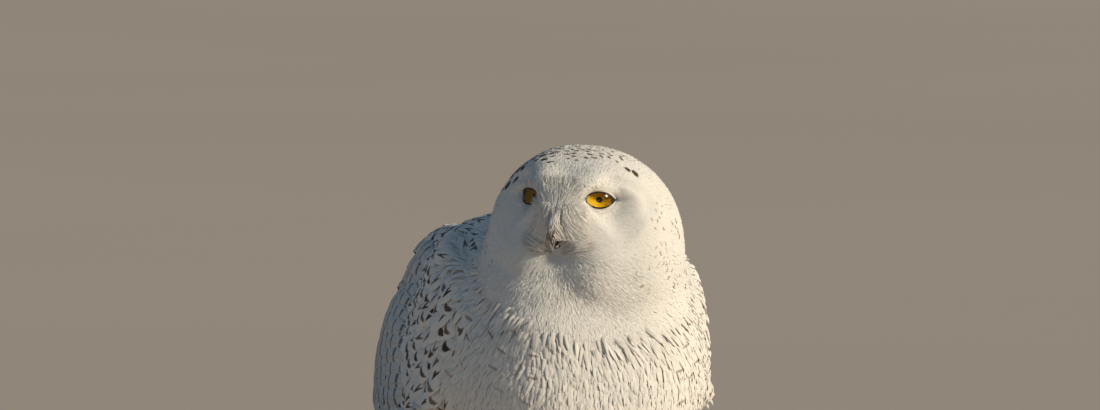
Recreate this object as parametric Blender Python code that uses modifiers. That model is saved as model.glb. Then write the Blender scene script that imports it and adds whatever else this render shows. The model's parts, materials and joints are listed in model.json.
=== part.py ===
"""A snowy owl at life size, crouched on the ground with its head turned, as a still display model.

The body is modelled whole, out to the tips of the plumage, and then parted with thin cuts. Metres, +Z up,
the breast towards -Y, the origin on the floor under the middle of the model's box.
"""

import math

import bmesh
import bpy
import numpy as np
from mathutils import Matrix, Vector

# Driving dimensions, in metres and degrees.
HEAD_RADIUS = 0.072
HEAD_CENTRE = Vector((0.0, 0.0, 0.180))
HEAD_YAW = 37.0  # towards the owl's own right
HEAD_ROLL = 3.0  # the right eye held a little higher
EYE_RADIUS = 0.0140
EYE_PLACE = Vector((0.0176, 0.0340, 0.0352))  # to the side, forwards, up, from the head's centre
EYE_TURN = 33.0  # how far each eye looks away from straight ahead
EYE_OPENING = (0.0235, 0.0128)
LID = 0.0018
IRIS_RADIUS = 0.0092
BILL_TIP = 0.0705  # forwards of the head's centre
WING_THICKNESS = 0.0085
TAIL_THICKNESS = 0.0060
GAP = 0.0005
VOXEL = 0.0036
HEAD_DETAIL, TRUNK_DETAIL = 0.080, 0.029  # shares of triangles kept

# The trunk's outline: distance behind the head's centre, half width, top and bottom.
TRUNK = (
    (-0.066, 0.000, 0.094, 0.094),
    (-0.060, 0.042, 0.132, 0.054),
    (-0.042, 0.070, 0.160, 0.022),
    (-0.010, 0.091, 0.179, 0.004),
    (0.040, 0.103, 0.197, -0.004),
    (0.095, 0.105, 0.204, -0.006),
    (0.150, 0.099, 0.196, -0.004),
    (0.205, 0.085, 0.174, 0.010),
    (0.260, 0.064, 0.144, 0.028),
    (0.310, 0.042, 0.108, 0.044),
    (0.345, 0.024, 0.078, 0.052),
    (0.356, 0.000, 0.062, 0.062),
)
SQUARENESS = 2.2  # 2 would make every section a true ellipse
TRUNK_RINGS = 48
TRUNK_SIDES = 48

# The folded wing: distance behind the head's centre, then the height and distance from the middle
# of its lower edge, and of its upper edge.
WING = (
    (0.000, 0.090, 0.0925, 0.138, 0.0880),
    (0.012, 0.072, 0.1010, 0.156, 0.0870),
    (0.040, 0.060, 0.1070, 0.174, 0.0800),
    (0.080, 0.053, 0.1110, 0.188, 0.0700),
    (0.150, 0.048, 0.1070, 0.188, 0.0560),
    (0.220, 0.046, 0.0930, 0.168, 0.0370),
    (0.290, 0.047, 0.0730, 0.132, 0.0170),
    (0.350, 0.044, 0.0530, 0.092, 0.0090),
    (0.392, 0.038, 0.0370, 0.064, 0.0080),
    (0.408, 0.037, 0.0270, 0.052, 0.0120),
)
TAIL_LENGTH = 0.170
TAIL_START = Vector((0.0, 0.272, 0.069))
TAIL_SLOPE = 16.0
TAIL_HALF_WIDTH = 0.046

# The planes that part the body and the wings: a point, and the direction that counts as above.
COLLAR = (Vector((0.0, 0.0, 0.148)), Vector((0.0, -0.55, 0.84)))
SHOULDERS = (Vector((0.0, 0.0, 0.116)), Vector((0.0, -0.50, 0.87)))
COVERT_EDGE = (Vector((0.0, 0.150, 0.120)), Vector((0.0, 0.86, -0.50)))
TIP_EDGE = (Vector((0.0, 0.285, 0.085)), Vector((0.0, 0.80, 0.60)))

# Feet.
FOOT_PLACE = Vector((0.036, -0.022, 0.0))
TOE_RADIUS = 0.0092
TOES = (  # name, outward turn from straight ahead, length
    ("inner", -16.0, 0.040),
    ("middle", 4.0, 0.046),
    ("outer", 32.0, 0.038),
    ("hind", 158.0, 0.020),
)
CLAW_LENGTH = 0.024
CLAW_RADIUS = 0.0036

PLUMAGE = ("plumage", (0.86, 0.84, 0.79), 0.85)
DARK_PLUMAGE = ("barred_plumage", (0.72, 0.69, 0.64), 0.85)
HORN = ("horn", (0.025, 0.024, 0.026), 0.35)
EYE = ("eye", (0.72, 0.42, 0.03), 0.08)


def fresh_scene():
    """Empty the scene and give it one collection for the owl and one for its cutters."""
    for obj in list(bpy.data.objects):
        bpy.data.objects.remove(obj)
    parts = bpy.data.collections.new("snowy_owl")
    cutters = bpy.data.collections.new("cutters")
    for collection in (parts, cutters):
        bpy.context.scene.collection.children.link(collection)
    return parts, cutters


def material(name, colour, roughness):
    found = bpy.data.materials.get(name)
    if found:
        return found
    made = bpy.data.materials.new(name)
    made.use_nodes = True
    shader = made.node_tree.nodes["Principled BSDF"]
    shader.inputs["Base Color"].default_value = (*colour, 1.0)
    shader.inputs["Roughness"].default_value = roughness
    return made


def add_object(name, mesh, collection, look=None):
    obj = bpy.data.objects.new(name, mesh)
    collection.objects.link(obj)
    if look:
        mesh.materials.clear()
        mesh.materials.append(material(*look))
    if collection.name == "cutters":
        obj.hide_render = True
        obj.display_type = "WIRE"
    return obj


def mesh_from(bm, name):
    bm.normal_update()
    bmesh.ops.recalc_face_normals(bm, faces=bm.faces)
    mesh = bpy.data.meshes.new(name)
    bm.to_mesh(mesh)
    bm.free()
    return mesh


def evaluated(obj, name):
    """A new mesh holding the object's shape with its modifiers applied and its place in the points."""
    graph = bpy.context.evaluated_depsgraph_get()
    mesh = bpy.data.meshes.new_from_object(obj.evaluated_get(graph))
    mesh.name = name
    mesh.transform(obj.matrix_world)
    return mesh


def settle(obj):
    """Apply an object's modifiers to its mesh."""
    mesh = evaluated(obj, obj.name)
    obj.modifiers.clear()
    obj.data = mesh
    obj.matrix_world = Matrix.Identity(4)
    return obj


def boolean(obj, other, operation="DIFFERENCE"):
    modifier = obj.modifiers.new(operation.lower(), "BOOLEAN")
    modifier.operation = operation
    modifier.solver = "EXACT"
    modifier.object = other
    return obj


def swollen(obj, cutters, by=GAP):
    """A cutter a little larger than the object all round, which leaves a gap where it cuts."""
    bm = bmesh.new()
    bm.from_mesh(evaluated(obj, obj.name + "_swollen"))
    bmesh.ops.triangulate(bm, faces=bm.faces)
    bmesh.ops.remove_doubles(bm, verts=bm.verts, dist=1e-5)
    bm.normal_update()
    moves = [vertex.normal * by * vertex.calc_shell_factor() for vertex in bm.verts]
    for vertex, move in zip(bm.verts, moves):
        vertex.co += move.normalized() * min(move.length, 2 * by)
    return add_object(obj.name + "_swollen", mesh_from(bm, obj.name + "_swollen"), cutters)


def smooth_profile(table, at, column):
    """A column of an outline table at a distance, through a monotone cubic."""
    places = [row[0] for row in table]
    values = [row[column] for row in table]
    if at <= places[0]:
        return values[0]
    if at >= places[-1]:
        return values[-1]
    slopes = [
        (values[i + 1] - values[i]) / (places[i + 1] - places[i]) for i in range(len(places) - 1)
    ]
    tangents = [slopes[0]]
    for before, after in zip(slopes, slopes[1:]):
        tangents.append(0.0 if before * after <= 0 else 2 * before * after / (before + after))
    tangents.append(slopes[-1])
    i = max(k for k in range(len(places) - 1) if places[k] <= at)
    step = places[i + 1] - places[i]
    t = (at - places[i]) / step
    return (
        (1 + 2 * t) * (1 - t) ** 2 * values[i]
        + t * (1 - t) ** 2 * step * tangents[i]
        + t * t * (3 - 2 * t) * values[i + 1]
        + t * t * (t - 1) * step * tangents[i + 1]
    )


def loft(rings, name):
    """A closed mesh through rings of equal count, whose first and last are single points."""
    bm = bmesh.new()
    loops = [[bm.verts.new(point) for point in ring] for ring in rings]
    for near, far in zip(loops, loops[1:]):
        count = max(len(near), len(far))
        for i in range(count):
            j = (i + 1) % count
            if len(near) == 1:
                bm.faces.new((near[0], far[i], far[j]))
            elif len(far) == 1:
                bm.faces.new((near[i], far[0], near[j]))
            else:
                bm.faces.new((near[i], far[i], far[j], near[j]))
    return mesh_from(bm, name)


def trunk_mesh():
    """An egg laid along Y, from the breast to the ends of the tail coverts."""
    first, last = TRUNK[0][0], TRUNK[-1][0]
    rings = []
    for k in range(TRUNK_RINGS + 1):
        y = first + (last - first) * (0.5 - 0.5 * math.cos(math.pi * k / TRUNK_RINGS))
        half = smooth_profile(TRUNK, y, 1)
        top, bottom = smooth_profile(TRUNK, y, 2), smooth_profile(TRUNK, y, 3)
        centre, height = (top + bottom) / 2, (top - bottom) / 2
        if k in (0, TRUNK_RINGS):
            rings.append([(0.0, y, centre)])
            continue
        rings.append(
            [
                (half * rounded(math.cos(a)), y, centre + height * rounded(math.sin(a)))
                for a in (2 * math.pi * i / TRUNK_SIDES for i in range(TRUNK_SIDES))
            ]
        )
    return loft(rings, "trunk_whole")


def rounded(value):
    """A cosine or sine as a superellipse has it."""
    return math.copysign(abs(value) ** (2 / SQUARENESS), value)


def bump(direction, centre, width):
    """From 0 to 1: how near a direction is to a centre, in radians of spread."""
    angle = direction.angle(Vector(centre))
    return math.exp(-((angle / width) ** 2))


def head_reach(direction):
    """How far the plumage stands from the head's centre in a direction given as side, forwards, up."""
    side, forwards, up = direction
    width = HEAD_RADIUS * (1 + 0.16 * max(0.0, -up))
    depth = 0.062 if forwards > 0 else 0.074
    height = 0.072 if up > 0 else 0.082
    power = 2.08 + 0.26 * max(-0.4, min(0.4, forwards))
    reach = (
        abs(side / width) ** power + abs(forwards / depth) ** power + abs(up / height) ** power
    ) ** (-1 / power)
    mirrored = Vector((abs(side), forwards, up))
    reach -= 0.0050 * bump(mirrored, (0.62, 0.75, 0.20), 0.36)  # the dish of the facial disc
    reach += 0.0028 * bump(mirrored, (0.86, 0.38, -0.18), 0.24)  # its raised rim behind
    reach += 0.0034 * bump(mirrored, (0.36, 0.72, 0.66), 0.20)  # the brow
    reach += 0.0050 * bump(mirrored, (0.10, 0.84, 0.50), 0.24)  # the bridge between the eyes
    reach += 0.0052 * bump(mirrored, (0.08, 0.95, 0.30), 0.17)  # the bristles over the bill
    reach += 0.0044 * bump(mirrored, (0.40, 0.82, -0.34), 0.25)  # the cheeks
    reach -= 0.0080 * bump(mirrored, (0.0, 0.99, -0.03), 0.13)  # the gape, under the bill
    return reach


def head_matrix():
    """From the head's own axes (side to its left, forwards, up) to the owl's."""
    to_body = Matrix(((1, 0, 0), (0, -1, 0), (0, 0, 1))).to_4x4()
    roll = Matrix.Rotation(math.radians(HEAD_ROLL), 4, "Y")
    yaw = Matrix.Rotation(-math.radians(HEAD_YAW), 4, "Z")
    return Matrix.Translation(HEAD_CENTRE) @ yaw @ roll @ to_body


def head_mesh():
    bm = bmesh.new()
    bmesh.ops.create_icosphere(bm, subdivisions=6, radius=1.0)
    place = head_matrix()
    for vertex in bm.verts:
        direction = vertex.co.normalized()
        vertex.co = place @ (direction * head_reach(direction))
    return mesh_from(bm, "head_whole")


def ellipsoid_mesh(name, centre, axes, detail):
    bm = bmesh.new()
    bmesh.ops.create_icosphere(bm, subdivisions=detail, radius=1.0)
    for vertex in bm.verts:
        vertex.co = Vector(a * b for a, b in zip(vertex.co, axes)) + Vector(centre)
    return mesh_from(bm, name)


def whole_body(cutters):
    """Head, neck and trunk as one smooth skin of plumage, finer for the head than for the rest."""
    body = add_object("body_whole", trunk_mesh(), cutters)
    neck = add_object(
        "neck_whole", ellipsoid_mesh("neck_whole", (0.0, 0.018, 0.138), (0.084, 0.078, 0.066), 5), cutters
    )
    head = add_object("head_whole", head_mesh(), cutters)
    boolean(body, neck, "UNION")
    boolean(body, head, "UNION")
    remesh = body.modifiers.new("even faces", "REMESH")
    remesh.mode = "VOXEL"
    remesh.voxel_size = VOXEL
    settle(body)
    smooth_seams(body)
    fine = add_object("body_fine", body.data.copy(), cutters)
    return thinned(fine, HEAD_DETAIL), thinned(body, TRUNK_DETAIL)


def smooth_seams(body):
    """Soften the creases where neck meets trunk and head, and leave the face sharp."""
    face = head_matrix() @ Vector((0.0, 0.060, 0.012))
    group = body.vertex_groups.new(name="soft")
    for vertex in body.data.vertices:
        clear = min(1.0, max(0.0, ((vertex.co - face).length - 0.060) / 0.030))
        group.add([vertex.index], clear, "REPLACE")
    soften = body.modifiers.new("soften", "SMOOTH")
    soften.factor = 0.5
    soften.iterations = 30
    soften.vertex_group = group.name
    settle(body)
    body.vertex_groups.clear()
    trim = body.modifiers.new("round off", "SMOOTH")
    trim.factor = 0.4
    trim.iterations = 3
    settle(body)


def thinned(obj, ratio):
    """The object with this share of its triangles, the flat stretches losing the most."""
    thin = obj.modifiers.new("thin", "DECIMATE")
    thin.ratio = ratio
    thin.use_collapse_triangulate = True
    return settle(obj)


def slab(name, cutters, point, normal, above):
    """A large box for all that lies above a plane, or all below it, and half a gap over the plane."""
    size = 1.2
    bm = bmesh.new()
    bmesh.ops.create_cube(bm, size=size)
    side = 1 if above else -1
    turn = Vector(normal).to_track_quat("Z", "Y").to_matrix().to_4x4()
    shift = Matrix.Translation(Vector((0, 0, side * (size / 2 - GAP / 2))))
    bmesh.ops.transform(bm, matrix=Matrix.Translation(point) @ turn @ shift, verts=bm.verts)
    return add_object(name, mesh_from(bm, name), cutters)


def part_body(fine, coarse, parts, cutters):
    """Cut the whole body into head, neck and trunk, and set the trunk's belly flat on the floor."""
    under_collar = slab("under_collar", cutters, *COLLAR, above=False)
    over_collar = slab("over_collar", cutters, *COLLAR, above=True)
    under_shoulders = slab("under_shoulders", cutters, *SHOULDERS, above=False)
    over_shoulders = slab("over_shoulders", cutters, *SHOULDERS, above=True)
    floor = slab("floor", cutters, Vector((0, 0, -GAP / 2)), Vector((0, 0, 1)), above=False)
    made = []
    for name, whole, cuts in (
        ("head", fine, (under_collar,)),
        ("neck", coarse, (over_collar, under_shoulders)),
        ("trunk", coarse, (over_shoulders, floor)),
    ):
        piece = add_object(name, whole.data.copy(), parts, PLUMAGE)
        for cut in cuts:
            boolean(piece, cut)
        made.append(settle(piece))
    return made


def wing_mesh(side):
    """One folded wing as a curved shield: an open surface over the flank, to be thickened inwards."""
    along, across = 12, 5
    first, last = WING[0][0], WING[-1][0]
    bm = bmesh.new()
    grid = []
    for i in range(along + 1):
        y = first + (last - first) * i / along
        low, outer, high, inner = (smooth_profile(WING, y, column) for column in (1, 2, 3, 4))
        row = []
        for j in range(across + 1):
            angle = 0.5 * math.pi * j / across
            x = inner + (outer - inner) * rounded(math.cos(angle))
            z = low + (high - low) * rounded(math.sin(angle))
            row.append(bm.verts.new((side * x, y, z)))
        grid.append(row)
    for near, far in zip(grid, grid[1:]):
        for a, b in zip(range(across), range(1, across + 1)):
            bm.faces.new((near[a], far[a], far[b], near[b]))
    bm.normal_update()
    outwards = sum(face.normal.x for face in bm.faces) * side
    if outwards < 0:
        bmesh.ops.reverse_faces(bm, faces=bm.faces)
    mesh = bpy.data.meshes.new("wing_whole")
    bm.to_mesh(mesh)
    bm.free()
    return mesh


def wing_parts(side, name, neighbours, parts, cutters):
    """A folded wing in three: the coverts in front, then the secondaries, the primaries' tips last."""
    wing = add_object(f"wing_{name}_whole", wing_mesh(side), cutters)
    shell = wing.modifiers.new("thickness", "SOLIDIFY")
    shell.thickness = WING_THICKNESS
    shell.offset = -1.0
    shell.use_even_offset = True
    settle(wing)
    for neighbour in neighbours:
        boolean(wing, swollen(neighbour, cutters))
    settle(wing)
    for part, cuts in (
        ("coverts", ((COVERT_EDGE, True),)),
        ("secondaries", ((COVERT_EDGE, False), (TIP_EDGE, True))),
        ("primaries", ((TIP_EDGE, False),)),
    ):
        piece = add_object(f"wing_{name}_{part}", wing.data.copy(), parts, DARK_PLUMAGE)
        for number, (edge, above) in enumerate(cuts):
            boolean(piece, slab(f"{piece.name}_cut_{number}", cutters, *edge, above=above))
        settle(piece)
        keep_largest_body(piece)


def keep_largest_body(obj):
    """Drop the loose scraps that a cut leaves beside the main solid."""
    bm = bmesh.new()
    bm.from_mesh(obj.data)
    left = set(bm.verts)
    bodies = []
    while left:
        found, edge = set(), [left.pop()]
        while edge:
            vertex = edge.pop()
            found.add(vertex)
            near = {e.other_vert(vertex) for e in vertex.link_edges} & left
            left -= near
            edge += near
        bodies.append(found)
    largest = max(bodies, key=len)
    bmesh.ops.delete(bm, geom=[v for v in bm.verts if v not in largest], context="VERTS")
    bm.to_mesh(obj.data)
    bm.free()


def tail_object(parts):
    """The closed tail: a shallow arch of feathers, widest near its rounded end."""
    rows, columns = 8, 6
    bm = bmesh.new()
    grid = []
    for i in range(rows + 1):
        t = i / rows
        half = TAIL_HALF_WIDTH * (0.62 + 0.38 * math.sin(0.5 * math.pi * min(1.0, 1.25 * t)))
        row = []
        for j in range(columns + 1):
            across = -1 + 2 * j / columns
            end = 1 - 0.10 * across * across * t
            rise = -0.007 * across * across
            row.append(bm.verts.new((across * half, t * TAIL_LENGTH * end, rise)))
        grid.append(row)
    for near, far in zip(grid, grid[1:]):
        for a, b in zip(range(columns), range(1, columns + 1)):
            bm.faces.new((near[a], near[b], far[b], far[a]))
    mesh = bpy.data.meshes.new("tail")
    bm.normal_update()
    bm.to_mesh(mesh)
    bm.free()
    tail = add_object("tail", mesh, parts, DARK_PLUMAGE)
    tail.matrix_world = Matrix.Translation(TAIL_START) @ Matrix.Rotation(
        -math.radians(TAIL_SLOPE), 4, "X"
    )
    shell = tail.modifiers.new("thickness", "SOLIDIFY")
    shell.thickness = TAIL_THICKNESS
    shell.offset = -1.0
    bpy.context.view_layer.update()
    return settle(tail)


def tube_mesh(path, name, sides=10):
    """A closed round tube through (point, radius) pairs, with rounded ends."""
    rings = []
    for k, (point, radius) in enumerate(path):
        before, after = path[max(k - 1, 0)][0], path[min(k + 1, len(path) - 1)][0]
        turn = (after - before).to_track_quat("Z", "Y")
        if radius < 1e-6:
            rings.append([point])
            continue
        rings.append(
            [
                point + turn @ Vector((radius * math.cos(a), radius * math.sin(a), 0))
                for a in (2 * math.pi * i / sides for i in range(sides))
            ]
        )
    return loft(rings, name)


def toe_mesh(start, heading, length, grown=0.0):
    """A feathered toe: a rounded tube that thins a little towards the claw."""
    start, length = start - heading * grown, length + 2 * grown
    path = []
    steps = 5
    for k in range(steps + 1):
        t = k / steps
        swell = math.sin(math.pi * min(max(t, 0.0), 1.0)) ** 0.5 if k in (0, steps) else 1.0
        radius = TOE_RADIUS * (1.0 - 0.16 * t) * (0.0 if k in (0, steps) else swell)
        if k in (1, steps - 1):
            radius *= 0.86
        radius += grown if radius else 0.0
        height = TOE_RADIUS * (0.82 - 0.06 * t)
        path.append((start + heading * (length * t) + Vector((0, 0, height)), radius))
    return tube_mesh(path, "toe", sides=8)


def claw_mesh(tip_of_toe, heading):
    """A long curved claw whose point comes down near the floor."""
    path = []
    steps = 5
    for k in range(steps + 1):
        t = k / steps
        bend = math.radians(-8 + 62 * t)
        along = CLAW_LENGTH * (math.sin(bend) + math.sin(math.radians(8))) / 1.15
        fall = CLAW_LENGTH * 0.62 * (t**2.2)
        radius = CLAW_RADIUS * (1 - t) ** 0.8 if k else 0.0
        lift = Vector((0, 0, TOE_RADIUS * 1.12 - fall))
        path.append((tip_of_toe + heading * (along - 0.006) + lift, radius))
    path[1] = (path[1][0], CLAW_RADIUS * 0.95)
    return tube_mesh(path, "claw", sides=6)


def foot_object(name, toes, collection, grown=0.0, look=None):
    """The toes as one solid."""
    foot = None
    for start, heading, length in toes:
        mesh = toe_mesh(start, heading, length, grown)
        if foot is None:
            foot = add_object(name, mesh, collection, look)
        else:
            other = add_object(f"{name}_toe", mesh, bpy.data.collections["cutters"])
            boolean(foot, other, "UNION")
    return settle(foot)


def legs_and_feet(side, name, trunk, parts, cutters, floor):
    """A short feathered leg, a foot of four toes cut flat on the floor, and four claws."""
    ankle = Vector((side * FOOT_PLACE.x, FOOT_PLACE.y, 0.0))
    toes = []
    for _, turn, length in TOES:
        angle = math.radians(turn)
        heading = Vector((side * math.sin(angle), -math.cos(angle), 0.0))
        toes.append((ankle - heading * TOE_RADIUS, heading, length))
    foot = foot_object(f"foot_{name}", toes, parts, look=PLUMAGE)
    boolean(foot, floor)
    settle(foot)
    foot_cutter = foot_object(f"foot_{name}_swollen", toes, cutters, grown=GAP)
    leg_mesh = ellipsoid_mesh("leg", (ankle.x, ankle.y + 0.010, 0.027), (0.019, 0.021, 0.026), 2)
    leg = add_object(f"leg_{name}", leg_mesh, parts, PLUMAGE)
    boolean(leg, foot_cutter)
    boolean(leg, floor)
    settle(leg)
    keep_largest_body(leg)
    boolean(trunk, swollen(leg, cutters))
    boolean(trunk, foot_cutter)
    settle(trunk)
    keep_largest_body(trunk)
    for (toe, _, _), (start, heading, length) in zip(TOES, toes):
        claw_shape = claw_mesh(start + heading * length, heading)
        claw = add_object(f"claw_{name}_{toe}", claw_shape, parts, HORN)
        boolean(claw, foot_cutter)
        boolean(claw, floor)
        settle(claw)
        keep_largest_body(claw)
        claw_cutter = swollen(claw, cutters)
        boolean(leg, claw_cutter)
        boolean(trunk, claw_cutter)
    settle(leg)
    settle(trunk)


def eye_ball(name, matrix, radius, bulge, collection, look=None):
    """A ball that looks along its own Z, with the clear front standing out a little."""
    bm = bmesh.new()
    bmesh.ops.create_uvsphere(bm, u_segments=16, v_segments=9, radius=1.0)
    bmesh.ops.rotate(bm, matrix=Matrix.Rotation(math.radians(7), 3, "Z"), verts=bm.verts)
    for vertex in bm.verts:
        direction = vertex.co.normalized()
        front = max(0.0, direction.z - math.cos(math.asin(IRIS_RADIUS / EYE_RADIUS)))
        vertex.co = direction * (radius + bulge * front * 5.0)
    bmesh.ops.transform(bm, matrix=matrix, verts=bm.verts)
    return add_object(name, mesh_from(bm, name), collection, look)


def eye_matrix(side):
    """Places an eye in the head: Z out of the eye, X towards the temple."""
    centre = Vector((side * EYE_PLACE.x, EYE_PLACE.y, EYE_PLACE.z))
    angle = math.radians(EYE_TURN)
    outwards = Vector((side * math.sin(angle), math.cos(angle), 0.0))
    temple = Vector((side * math.cos(angle), -math.sin(angle), 0.0))
    upwards = Vector((0, 0, 1))
    turn = Matrix((temple, upwards, outwards)).transposed().to_4x4()
    return head_matrix() @ Matrix.Translation(centre) @ turn


def opening_mesh(matrix):
    """The almond between the lids, as a prism from the eyeball outwards."""
    width, height = EYE_OPENING
    steps = 8
    outline = []
    for k in range(steps):
        t = -1 + 2 * k / steps
        outline.append((t * width / 2, height / 2 * (1 - t * t) ** 0.75))
    for k in range(steps):
        t = 1 - 2 * k / steps
        outline.append((t * width / 2, -height / 2 * (1 - t * t) ** 0.75))
    bm = bmesh.new()
    back = [bm.verts.new((x, y, 0.004)) for x, y in outline]
    front = [bm.verts.new((x * 1.06, y * 1.10, 0.030)) for x, y in outline]
    bm.faces.new(back[::-1])
    bm.faces.new(front)
    for i in range(len(outline)):
        j = (i + 1) % len(outline)
        bm.faces.new((back[i], back[j], front[j], front[i]))
    bmesh.ops.transform(bm, matrix=matrix, verts=bm.verts)
    return mesh_from(bm, "opening")


def set_eyes(head, parts, cutters):
    """Round lids over each eye, a socket for the ball and the opening between the lids."""
    for side, name in ((1, "left"), (-1, "right")):
        matrix = eye_matrix(side)
        lids = eye_ball(f"lids_{name}", matrix, EYE_RADIUS + LID, 0.0010, cutters)
        boolean(head, lids, "UNION")
        settle(head)
        boolean(head, eye_ball(f"socket_{name}", matrix, EYE_RADIUS + GAP, 0.0012, cutters))
        boolean(head, add_object(f"opening_{name}", opening_mesh(matrix), cutters))
        settle(head)
        eye_ball(f"eye_{name}", matrix, EYE_RADIUS, 0.0012, parts, EYE)
    keep_largest_body(head)


def bill_path(upper):
    """(point, radius) pairs in the head's axes: the upper half hooks over the lower."""
    place = head_matrix()
    path = []
    steps = 9
    for k in range(steps + 1):
        t = k / steps
        if upper:
            forwards = BILL_TIP - 0.022 + 0.022 * math.sin(math.radians(90 * min(1.0, 1.12 * t)))
            up = 0.028 - 0.027 * t**1.7
            radius = 0.0062 * (1 - t) ** 0.62 if 0 < k < steps else 0.0
        else:
            forwards = BILL_TIP - 0.024 + 0.0185 * t
            up = 0.0075 - 0.0075 * t
            radius = 0.0042 * (1 - t) ** 0.5 if 0 < k < steps else 0.0
        path.append((place @ Vector((0.0, forwards, up)), radius))
    return path


def set_bill(head, parts, cutters):
    upper = add_object("bill_upper", tube_mesh(bill_path(True), "bill_upper"), parts, HORN)
    lower = add_object("bill_lower", tube_mesh(bill_path(False), "bill_lower"), parts, HORN)
    boolean(lower, swollen(upper, cutters))
    settle(lower)
    keep_largest_body(lower)
    for bill in (upper, lower):
        boolean(head, swollen(bill, cutters))
        settle(head)
    keep_largest_body(head)


def centre_on_floor(parts):
    """Move every part so that the middle of the whole model's box stands over the origin."""
    points = np.array([obj.matrix_world @ v.co for obj in parts.objects for v in obj.data.vertices])
    low, high = points.min(axis=0), points.max(axis=0)
    shift = Matrix.Translation((-(low[0] + high[0]) / 2, -(low[1] + high[1]) / 2, -low[2]))
    for obj in parts.objects:
        obj.data.transform(shift)


def shade(parts):
    for obj in parts.objects:
        obj.data.shade_smooth()
        obj.data.set_sharp_from_angle(angle=math.radians(45))


def build():
    parts, cutters = fresh_scene()
    fine, coarse = whole_body(cutters)
    head, neck, trunk = part_body(fine, coarse, parts, cutters)
    floor = bpy.data.objects["floor"]
    tail = tail_object(parts)
    boolean(trunk, swollen(tail, cutters))
    settle(trunk)
    for side, name in ((1, "left"), (-1, "right")):
        wing_parts(side, name, (coarse, head, tail), parts, cutters)
        legs_and_feet(side, name, trunk, parts, cutters, floor)
    set_eyes(head, parts, cutters)
    set_bill(head, parts, cutters)
    centre_on_floor(parts)
    shade(parts)


build()
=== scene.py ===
"""Snowy owl, life size, crouched on the ground: skin, eyes, bill, claws and plumage."""

import json
import logging
import math
from dataclasses import dataclass, field
from enum import Enum
from typing import Any, Callable, Iterable, Optional, Sequence

import bmesh
import bpy
import numpy as np
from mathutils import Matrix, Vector
from mathutils.bvhtree import BVHTree
from mathutils.kdtree import KDTree

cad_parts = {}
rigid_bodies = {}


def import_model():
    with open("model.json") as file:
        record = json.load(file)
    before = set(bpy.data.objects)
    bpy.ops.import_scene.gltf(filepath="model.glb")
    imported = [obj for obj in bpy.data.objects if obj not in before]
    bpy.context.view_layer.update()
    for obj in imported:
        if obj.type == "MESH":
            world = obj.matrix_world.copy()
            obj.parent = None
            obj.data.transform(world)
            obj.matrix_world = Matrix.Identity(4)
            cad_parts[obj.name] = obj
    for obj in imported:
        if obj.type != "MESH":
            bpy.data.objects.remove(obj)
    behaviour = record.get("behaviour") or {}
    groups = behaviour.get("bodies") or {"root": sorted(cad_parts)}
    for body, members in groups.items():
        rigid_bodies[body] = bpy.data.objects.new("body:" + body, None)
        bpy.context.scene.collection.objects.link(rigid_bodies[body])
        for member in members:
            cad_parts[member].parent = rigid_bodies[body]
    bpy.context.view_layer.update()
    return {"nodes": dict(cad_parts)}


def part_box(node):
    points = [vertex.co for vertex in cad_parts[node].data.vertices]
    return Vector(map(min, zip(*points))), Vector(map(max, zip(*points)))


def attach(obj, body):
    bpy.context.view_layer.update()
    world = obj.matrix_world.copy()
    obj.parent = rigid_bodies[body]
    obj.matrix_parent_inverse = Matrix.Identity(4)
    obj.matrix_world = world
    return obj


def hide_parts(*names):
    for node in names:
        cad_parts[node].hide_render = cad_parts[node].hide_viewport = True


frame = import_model()

Array = np.ndarray
Rng = np.random.Generator
Object = bpy.types.Object
Material = bpy.types.Material
Colour = tuple[float, float, float]
Pair = tuple[float, float]
log = logging.getLogger("snowy_owl")
BODY = "root"
BAKE_MAP = "OFBake"
SEED = 20
UP = np.array([0.0, 0.0, 1.0])

# The head's turn and lean, and each eye's place on the head, turn outwards and shift by side.
HEAD_YAW = math.radians(37)
HEAD_ROLL = math.radians(3)
EYE_PLACE = np.array([0.0176, 0.0340, 0.0352])
EYE_TURN = math.radians(24)
EYE_SHIFT = {1: (0.0016, -0.0035, 0.0003), -1: (0.0056, -0.0035, -0.0006)}

# The gaps closed when shapes are joined, and the greatest distance from a mark in its own measure.
NODE_GAP = 0.00002
LATHE_GAP = 0.00001
LATHE_STEPS = 64
FAR = 9.0


# ------------------------ numbers


def unit(vectors: Array) -> Array:
    """Returns the vectors at length one."""
    return vectors / np.maximum(np.linalg.norm(vectors, axis=-1, keepdims=True), 1e-12)


def dot(a: Array, b: Array) -> Array:
    """Returns the scalar products of two arrays of vectors, with a last axis of one."""
    return (a * b).sum(-1, keepdims=True)


def ease(low: float, high: float, x: Any) -> Any:
    """Returns a smooth step of x that goes from 0 at low to 1 at high."""
    t = np.clip((x - low) / (high - low), 0.0, 1.0)
    return t * t * (3.0 - 2.0 * t)


def bump(x: Any, width: float) -> Any:
    """Returns a bell curve of x, 1 at zero and falling off over width."""
    return np.exp(-((x / width) ** 2))


def along(vectors: Array, normals: Array) -> Array:
    """Returns the vectors laid into the planes with these normals, at length one."""
    return unit(vectors - normals * dot(vectors, normals))


def turned(vectors: Array, axes: Array, angles: Array) -> Array:
    """Returns the vectors turned about their own axes.

    Args:
        vectors: The vectors, (..., 3).
        axes: Unit vectors square to them, (..., 3).
        angles: Angles in radians, without the last axis.
    """
    c, s = np.cos(angles)[..., None], np.sin(angles)[..., None]
    return vectors * c + np.cross(axes, vectors) * s


# ------------------------ axes of head and eyes


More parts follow.
